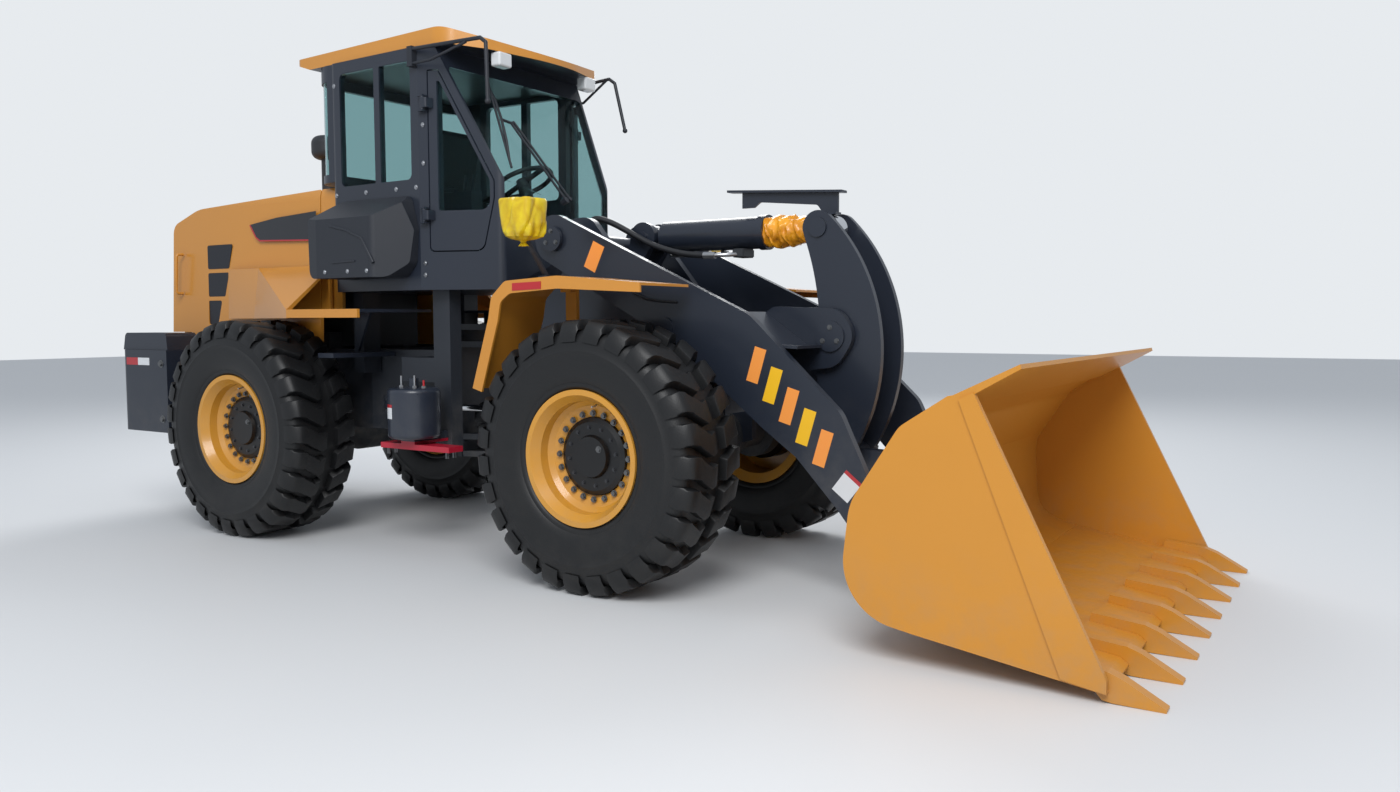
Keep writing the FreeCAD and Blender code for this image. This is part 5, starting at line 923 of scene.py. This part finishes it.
# %% A tube along points
def tube(name, points, radius, material, body, smooth_line=False, sides=4, ends=True):
    curve = bpy.data.curves.new(name, "CURVE")
    curve.dimensions = "3D"
    curve.bevel_depth = radius
    curve.bevel_resolution = sides
    curve.use_fill_caps = ends
    spline = curve.splines.new("NURBS" if smooth_line else "POLY")
    spline.points.add(len(points) - 1)
    for target, point in zip(spline.points, points):
        target.co = (*point, 1.0)
    if smooth_line:
        spline.order_u = 3
        spline.use_endpoint_u = True
        spline.resolution_u = 10
    path = bpy.data.objects.new(name + "_path", curve)
    bpy.context.scene.collection.objects.link(path)
    mesh = bpy.data.meshes.new_from_object(path.evaluated_get(bpy.context.evaluated_depsgraph_get()))
    bpy.data.objects.remove(path)
    return piece(name, mesh, material, body, smooth=50.0)


def at_machine(x, y, z):
    return Vector((x - middle_shift, y, z))


# %% Hood handles
for side, word in ((-1, "right"), (1, "left")):
    face = 0.660 * side
    out = 0.052 * side
    loop = [(-2.800, face, 2.000), (-2.800, face + out * 0.8, 2.000), (-2.806, face + out, 1.985), (-2.815, face + out, 1.850),
            (-2.824, face + out, 1.715), (-2.818, face + out * 0.8, 1.700), (-2.818, face, 1.700)]
    tube("hood_handle_" + word, [at_machine(*p) for p in loop], 0.011, yellow_enamel, "hood")
print("handles: 2")

# %% [markdown]
# The wiper stands on the scuttle below the windscreen and lies against the raked glass. Its arm is a
# pair of parallel rods that keep the blade at one angle. Points on the glass are worked out from the
# screen's own rake.

# %% The wiper
rake = (0.500 - 0.030) / (3.210 - 2.250)


def on_screen(y, z, off=0.012):
    return at_machine(0.030 + (3.210 - z) * rake + off, y, z + off * rake)


wiper_top = on_screen(-0.306, 2.746, 0.034)
wiper_foot = on_screen(-0.030, 2.262, 0.030)
wiper_step = Vector((0.0, -0.040, -0.010))
tube("wiper_arm_inner", [wiper_foot, wiper_top + Vector((0, 0.012, 0))], 0.0085, moulded_black, "rear")
tube("wiper_arm_outer", [wiper_foot - wiper_step, wiper_top - wiper_step * 0.9], 0.0085, moulded_black, "rear")
tube("wiper_yoke", [wiper_top - wiper_step * 0.9, wiper_top + Vector((0, 0.012, 0)), on_screen(-0.372, 2.770, 0.022)], 0.009,
     moulded_black, "rear")
blade_high, blade_low = on_screen(-0.330, 3.020, 0.006), on_screen(-0.425, 2.450, 0.006)
tube("wiper_blade", [blade_high, (blade_high + blade_low) / 2, blade_low], 0.008, moulded_black, "rear")
carrier = [blade_high.lerp(blade_low, 0.06), on_screen(-0.345, 2.90, 0.020), on_screen(-0.366, 2.76, 0.026),
           on_screen(-0.392, 2.62, 0.020), blade_high.lerp(blade_low, 0.90)]
tube("wiper_carrier", carrier, 0.009, moulded_black, "rear")
foot_low = on_screen(-0.030, 2.262, -0.004)
tube("wiper_pivot", [foot_low, wiper_foot + Vector((0.008, 0, 0.004))], 0.020, moulded_black, "rear")
tube("wiper_pivot_outer", [foot_low - wiper_step, wiper_foot - wiper_step + Vector((0.008, 0, 0.004))], 0.014, moulded_black, "rear")
print("wiper: 7 parts")

# %% [markdown]
# A pressure hose comes from the front frame to the tilt cylinder and crosses the cylinder's lower
# pin. The hose itself is attached to neither and stays where it is made. Its crimped steel end,
# elbow and valve block belong to the cylinder.

# %% The tilt cylinder's hoses
for side, word in ((-1, "right"), (1, "left")):
    y = 0.165 * side
    route = [(0.860, y * 1.25, 1.800), (0.850, y * 1.25, 2.000), (0.865, y * 1.22, 2.135), (1.000, y * 1.12, 2.105), (1.180, y, 2.010),
             (1.320, y, 1.940), (1.488, y, 1.892), (1.620, y, 1.872), (1.700, y, 1.868)]
    if side < 0:
        hose = tube("tilt_hose_" + word, [at_machine(*p) for p in route], 0.019, hose_rubber, None, smooth_line=True)
        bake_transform(hose)
        tube("hose_ferrule_" + word, [at_machine(1.690, y, 1.868), at_machine(1.770, y, 1.867)], 0.021, zinc, "tilt_tube")
        tube("hose_elbow_" + word, [at_machine(1.765, y, 1.867), at_machine(1.840, y * 0.9, 1.868), at_machine(1.870, y * 0.55, 1.872)],
             0.013, zinc, "tilt_tube")
block_mesh = bmesh.new()
bmesh.ops.create_cube(block_mesh, size=1.0, matrix=Matrix.Translation(at_machine(1.885, -0.035, 1.880))
                      @ Matrix.Diagonal((0.080, 0.130, 0.052, 1.0)))
bmesh.ops.bevel(block_mesh, geom=block_mesh.edges[:], offset=0.006, segments=2, affect="EDGES")
piece("port_block", closed_mesh("port_block", block_mesh), casting, "tilt_tube")
tube("return_pipe", [at_machine(1.300, 0.060, 1.888), at_machine(1.420, 0.060, 1.886), at_machine(1.860, 0.045, 1.886)], 0.011, zinc,
     "tilt_tube")
for x in (1.46, 1.70):
    tube("pipe_clip_" + str(round(x * 100)), [at_machine(x, 0.030, 1.899), at_machine(x, 0.090, 1.895)], 0.014, bolt_steel, "tilt_tube")
print("tilt plumbing made")

# %% [markdown]
# ## Bolts
# Hexagon bolts with washers hold the hubs, the cab's posts and the side boxes.
# Each set is a list of points with the direction that the heads face, and the bolt tree does the
# rest.

# %% Bolts on the wheels
def bolt_circle(centre, radius, count, facing, start=0.0):
    # points on a circle about an axle along y
    places = []
    for i in range(count):
        turn = start + 2 * math.pi * i / count
        places.append(((centre[0] + radius * math.cos(turn), centre[1], centre[2] + radius * math.sin(turn)), facing))
    return places


for place, (x, y) in wheel_centres.items():
    side = -1 if y < 0 else 1
    face = y + side * (0.225 - 0.130)
    outward = (0.0, side, 0.0)
    nuts = bolt_circle((x, face + side * 0.0005, wheel_radius), 0.236, 20, outward)
    bolts("rim_nuts_" + place, nuts, "wheel_" + place, 0.013, 0.014, 0.018)
    cover = bolt_circle((x, face + side * 0.012, wheel_radius), 0.160, 12, outward, 0.13)
    bolts("hub_bolts_" + place, cover, "wheel_" + place, 0.009, 0.009, 0.013, badge_black)
    plug = [((x + 0.062, face + side * 0.035, wheel_radius + 0.045), outward)]
    bolts("hub_plug_" + place, plug, "wheel_" + place, 0.014, 0.010, 0.019)
    stem_y = y + side * 0.150
    tube("valve_stem_" + place, [(x + 0.080, stem_y, wheel_radius + 0.295), (x + 0.078, stem_y + side * 0.030, wheel_radius + 0.284),
                                 (x + 0.077, stem_y + side * 0.055, wheel_radius + 0.280)], 0.005, zinc, "wheel_" + place)
print("wheel bolts:", 4 * 33)

# %% Bolts on pins; places round the cylinder's gland are listed but get no bolts
gland = []
for i in range(14):
    turn = 2 * math.pi * i / 14
    gland.append(((2.0432 - middle_shift, 0.0935 * math.cos(turn), 2.000 + 0.0935 * math.sin(turn)), (1.0, 0.0, 0.0)))
pin_caps = []
for side in (-1, 1):
    for (x, z), reach, y in (((0.870, 1.975), 0.045, 0.6002), ((2.547, 1.392), 0.050, 0.2272)):
        for i in range(3):
            turn = math.pi / 2 + 2 * math.pi * i / 3
            pin_caps.append(((x - middle_shift + reach * math.cos(turn), side * y, z + reach * math.sin(turn)), (0.0, side, 0.0)))
bolts("pin_cap_bolts", [p for p in pin_caps if abs(p[0][1]) > 0.5], "front", 0.011, 0.009, 0.015)
bolts("crank_cap_bolts", [p for p in pin_caps if abs(p[0][1]) < 0.5], "boom", 0.011, 0.009, 0.015)

# %% Bolts on the cab
def wall_y(x):
    return 0.750 - 0.0004 if x < -0.080 else 0.750 - (x + 0.080) * (0.750 - 0.550) / (0.440 + 0.080)


cab_places = []
for side in (-1, 1):
    for x, z in ((-0.052, 1.775), (-0.052, 1.850), (-0.052, 2.480), (-0.052, 2.720), (-0.905, 2.330), (-0.905, 3.060),
                 (-0.600, 2.332), (-0.300, 2.332), (-0.110, 2.332)):
        reach = 0.720 + (x + 0.960) / 0.880 * 0.030 if x < -0.080 else wall_y(x)
        cab_places.append(((x - middle_shift, side * reach, z), (0.0, side, 0.0)))
bolts("cab_bolts", cab_places, "rear", 0.010, 0.006, 0.015, zinc)
box_places = []
for side in (-1, 1):
    for x, z in ((-0.700, 1.800), (-0.480, 1.800), (-0.300, 1.800)):
        box_places.append(((x - middle_shift, side * 1.000, z), (0.0, side, 0.0)))
bolts("side_box_bolts", box_places, "rear", 0.009, 0.006, 0.014, zinc)
weight_places = []
for side in (-1, 1):
    for x, z in ((-2.490, 0.760), (-2.490, 1.170)):
        weight_places.append(((x - middle_shift, side * 1.0600, z), (0.0, side, 0.0)))
bolts("weight_bolts", weight_places, "rear", 0.020, 0.015, 0.030)
print("cab and frame bolts:", len(cab_places) + len(box_places) + len(weight_places))

# %% [markdown]
# ## The driver's seat
# A suspension seat has a moulded base and two padded pieces in vinyl, each with a seam of piping
# round its edge and a channel or two sewn across. The pads are rounded blocks, subdivided until they
# bend softly, with the middle swelled and the sewn lines drawn in. The base, its bellows and the arm
# rests are hard plastic.

# %% Padded pieces
def soft_pad(name, centre, size, lean, channels, bulge, body="rear"):
    work = bmesh.new()
    bmesh.ops.create_cube(work, size=1.0)
    bmesh.ops.subdivide_edges(work, edges=work.edges[:], cuts=23, use_grid_fill=True)
    turn = Matrix.Rotation(math.radians(lean), 4, "Y")
    for v in work.verts:
        u, w, h = v.co.x * 2, v.co.y * 2, v.co.z * 2
        # a rounded block: pull the corners in along a power curve
        reach = (abs(u) ** 6 + abs(w) ** 6 + abs(h) ** 2.6) ** (1 / 6)
        u, w = (u / max(reach, 1.0), w / max(reach, 1.0))
        swell = (1 - u * u) * (1 - w * w) * bulge
        sewn = sum(math.exp(-((w - c) / 0.035) ** 2) for c in channels) * 0.10
        sewn += math.exp(-((abs(u) - 0.86) / 0.03) ** 2) * 0.05
        wrinkle = noise.noise(Vector((u * 3, w * 3, h + 1.7))) * 0.04
        h = h * (0.80 + swell - sewn) + wrinkle * (1 if h > 0 else 0)
        v.co = turn @ Vector((u * size[0] / 2, w * size[1] / 2, h * size[2] / 2)) + Vector(centre)
    pad = piece(name, closed_mesh(name, work), seat_vinyl, body, smooth=60)
    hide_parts("seat")
    return pad


cushion = soft_pad("seat_cushion", at_machine(-0.305, 0, 2.185), (0.50, 0.49, 0.125), 2.0, (-0.55, 0.55), 0.22)
backrest = soft_pad("seat_backrest", at_machine(-0.568, 0, 2.535), (0.58, 0.47, 0.110), -78.0, (-0.5, 0.5), 0.20)


def hard_block(name, centre, size, material, lean=0.0, round_by=0.02, body="rear"):
    work = bmesh.new()
    turn = Matrix.Translation(centre) @ Matrix.Rotation(math.radians(lean), 4, "Y") @ Matrix.Diagonal((*size, 1.0))
    bmesh.ops.create_cube(work, size=1.0, matrix=turn)
    bmesh.ops.bevel(work, geom=work.edges[:], offset=round_by, segments=3, affect="EDGES")
    return closed_mesh(name, work)


bellows = []
for i in range(6):
    wide = 1.0 if i % 2 == 0 else 0.93
    bellows.append(hard_block("fold", at_machine(-0.310, 0, 1.90 + i * 0.035), (0.330 * wide, 0.350 * wide, 0.036), moulded_black,
                              round_by=0.012))
bellows.append(hard_block("pedestal", at_machine(-0.310, 0, 1.805), (0.34, 0.36, 0.160), moulded_black))
bellows.append(hard_block("pan", at_machine(-0.305, 0, 2.112), (0.42, 0.42, 0.040), moulded_black, round_by=0.012))
for side in (-1, 1):
    bellows.append(hard_block("arm", at_machine(-0.360, side * 0.290, 2.360), (0.315, 0.058, 0.056), moulded_black, round_by=0.018))
    bellows.append(hard_block("stay", at_machine(-0.470, side * 0.278, 2.262), (0.055, 0.030, 0.160), moulded_black, round_by=0.010))
seat_base = piece("seat_base", joined("seat_base", bellows), moulded_black, "rear")
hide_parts("seat")
print("seat faces:", len(cushion.data.polygons), len(backrest.data.polygons), len(seat_base.data.polygons))

# %% [markdown]
# ## Small trim
# What is left is bought-in or bent from rod and strip: the labels and fittings of the air tank, the
# ridges pressed into the side boxes, and the arm's grease lines.

# %% The air tank's label and fittings
def curved_label(name, centre, radius, turn_from, turn_to, z0, z1, material, body):
    work = bmesh.new()
    steps = 10
    rows = []
    for r in (radius, radius + 0.0012):
        for z in (z0, z1):
            row = []
            for i in range(steps + 1):
                turn = math.radians(turn_from + (turn_to - turn_from) * i / steps)
                row.append(work.verts.new((centre[0] + r * math.cos(turn), centre[1] + r * math.sin(turn), z)))
            rows.append(row)
    inner_low, inner_high, outer_low, outer_high = rows
    for i in range(steps):
        work.faces.new((inner_low[i], inner_low[i + 1], inner_high[i + 1], inner_high[i]))
        work.faces.new((outer_low[i], outer_low[i + 1], outer_high[i + 1], outer_high[i]))
        work.faces.new((inner_high[i], inner_high[i + 1], outer_high[i + 1], outer_high[i]))
        work.faces.new((inner_low[i], inner_low[i + 1], outer_low[i + 1], outer_low[i]))
    for i in (0, steps):
        work.faces.new((inner_low[i], outer_low[i], outer_high[i], inner_high[i]))
    return piece(name, closed_mesh(name, work), material, body, smooth=30)


tank = (-0.060 - middle_shift, -0.850)
curved_label("tank_label", tank, 0.1652, -122, -98, 0.870, 0.940, white_mark, "rear")
curved_label("tank_label_band", tank, 0.1654, -122, -98, 0.940, 0.960, red_mark, "rear")
curved_label("tank_seam", tank, 0.1650, -179, 179, 1.022, 1.030, dark_enamel, "rear")
skid_faces = []
for x, y in ((-0.270, -0.850), (0.255, -0.850)):
    skid_faces.append(((x - middle_shift, y - 0.030, 0.670), (0.0, 0.0, -1.0)))
    skid_faces.append(((x - middle_shift, y + 0.030, 0.670), (0.0, 0.0, -1.0)))
bolts("skid_bolts", skid_faces, "rear", 0.011, 0.040, 0.016)
for i, (x, y, high, paint) in enumerate(((-0.140, -0.880, 0.075, zinc), (-0.020, -0.880, 0.080, zinc), (0.040, -0.860, 0.050, red_mark))):
    tube("tank_fitting_" + str(i + 1), [at_machine(x, y, 1.052), at_machine(x, y, 1.060 + high)], 0.007, paint, "rear")
    tube("tank_nut_" + str(i + 1), [at_machine(x, y, 1.056), at_machine(x, y, 1.074)], 0.014, zinc, "rear", sides=1)

# %% Ridges of the side boxes
for side, word in ((-1, "right"), (1, "left")):
    # a short ridge pressed into the side box
    points = [at_machine(x, side * 0.9985, z) for x, z in ((-0.623, 1.857), (-0.407, 1.863))]
    tube("box_ridge_" + word, points, 0.007, moulded_black, "rear")
    points = [at_machine(x, side * 0.9975, z) for x, z in ((-0.640, 2.095), (-0.487, 2.062), (-0.345, 2.006), (-0.240, 1.850))]
    tube("box_edge_" + word, points, 0.010, moulded_black, "rear")
print("side boxes trimmed")

# %% The arm's grease lines
for side, word in ((-1, "right"), (1, "left")):
    y = side * 0.578
    grease = [(1.470, 0.572 * side, 1.640), (1.470, y, 1.640), (1.560, y, 1.604), (1.640, y, 1.592), (1.760, y, 1.584),
              (1.760, 0.572 * side, 1.584)]
    tube("grease_line_" + word, [at_machine(*p) for p in grease], 0.008, hose_rubber, "boom")

# %% [markdown]
# A curved wear plate lines the heel of the bucket, where the load grinds hardest. It runs from side
# to side, covers the ends of the ears' welds and fades into the floor and the back.

# %% The bucket's heel liner
front_line = [(3.290, 0.768), (3.262, 0.712), (3.254, 0.650), (3.256, 0.580), (3.261, 0.500), (3.267, 0.420), (3.274, 0.350),
              (3.288, 0.300), (3.312, 0.262), (3.348, 0.234), (3.400, 0.212), (3.460, 0.194), (3.522, 0.1775)]
back_line = [(3.520, 0.166), (3.400, 0.195), (3.300, 0.250), (3.250, 0.320), (3.220, 0.420), (3.215, 0.560), (3.243, 0.690),
             (3.278, 0.760)]
work = bmesh.new()
liner_rows = []
for y in (-1.3695, 1.3695):
    liner_rows.append([work.verts.new(at_machine(x, y, z)) for x, z in front_line + back_line])
work.faces.new(liner_rows[0])
work.faces.new(liner_rows[1])
for i in range(len(liner_rows[0])):
    k = (i + 1) % len(liner_rows[0])
    work.faces.new((liner_rows[0][i], liner_rows[0][k], liner_rows[1][k], liner_rows[1][i]))
piece("bucket_heel_liner", closed_mesh("bucket_heel_liner", work), bucket_enamel, "bucket", smooth=35)

# %% The floor
floor_mesh = bpy.data.meshes.new("floor")
reach = 40.0
floor_mesh.from_pydata([(-reach, -reach, 0), (reach, -reach, 0), (reach, reach, 0), (-reach, reach, 0)], [],
                       [(0, 1, 2, 3)])
floor = bpy.data.objects.new("floor", floor_mesh)
bpy.context.scene.collection.objects.link(floor)
floor_paint = bpy.data.materials.new("floor_paint")
floor_paint.use_nodes = True
floor_paint.node_tree.nodes["Principled BSDF"].inputs["Base Color"].default_value = (0.66, 0.67, 0.68, 1.0)
floor_paint.node_tree.nodes["Principled BSDF"].inputs["Roughness"].default_value = 0.55
floor_mesh.materials.append(floor_paint)
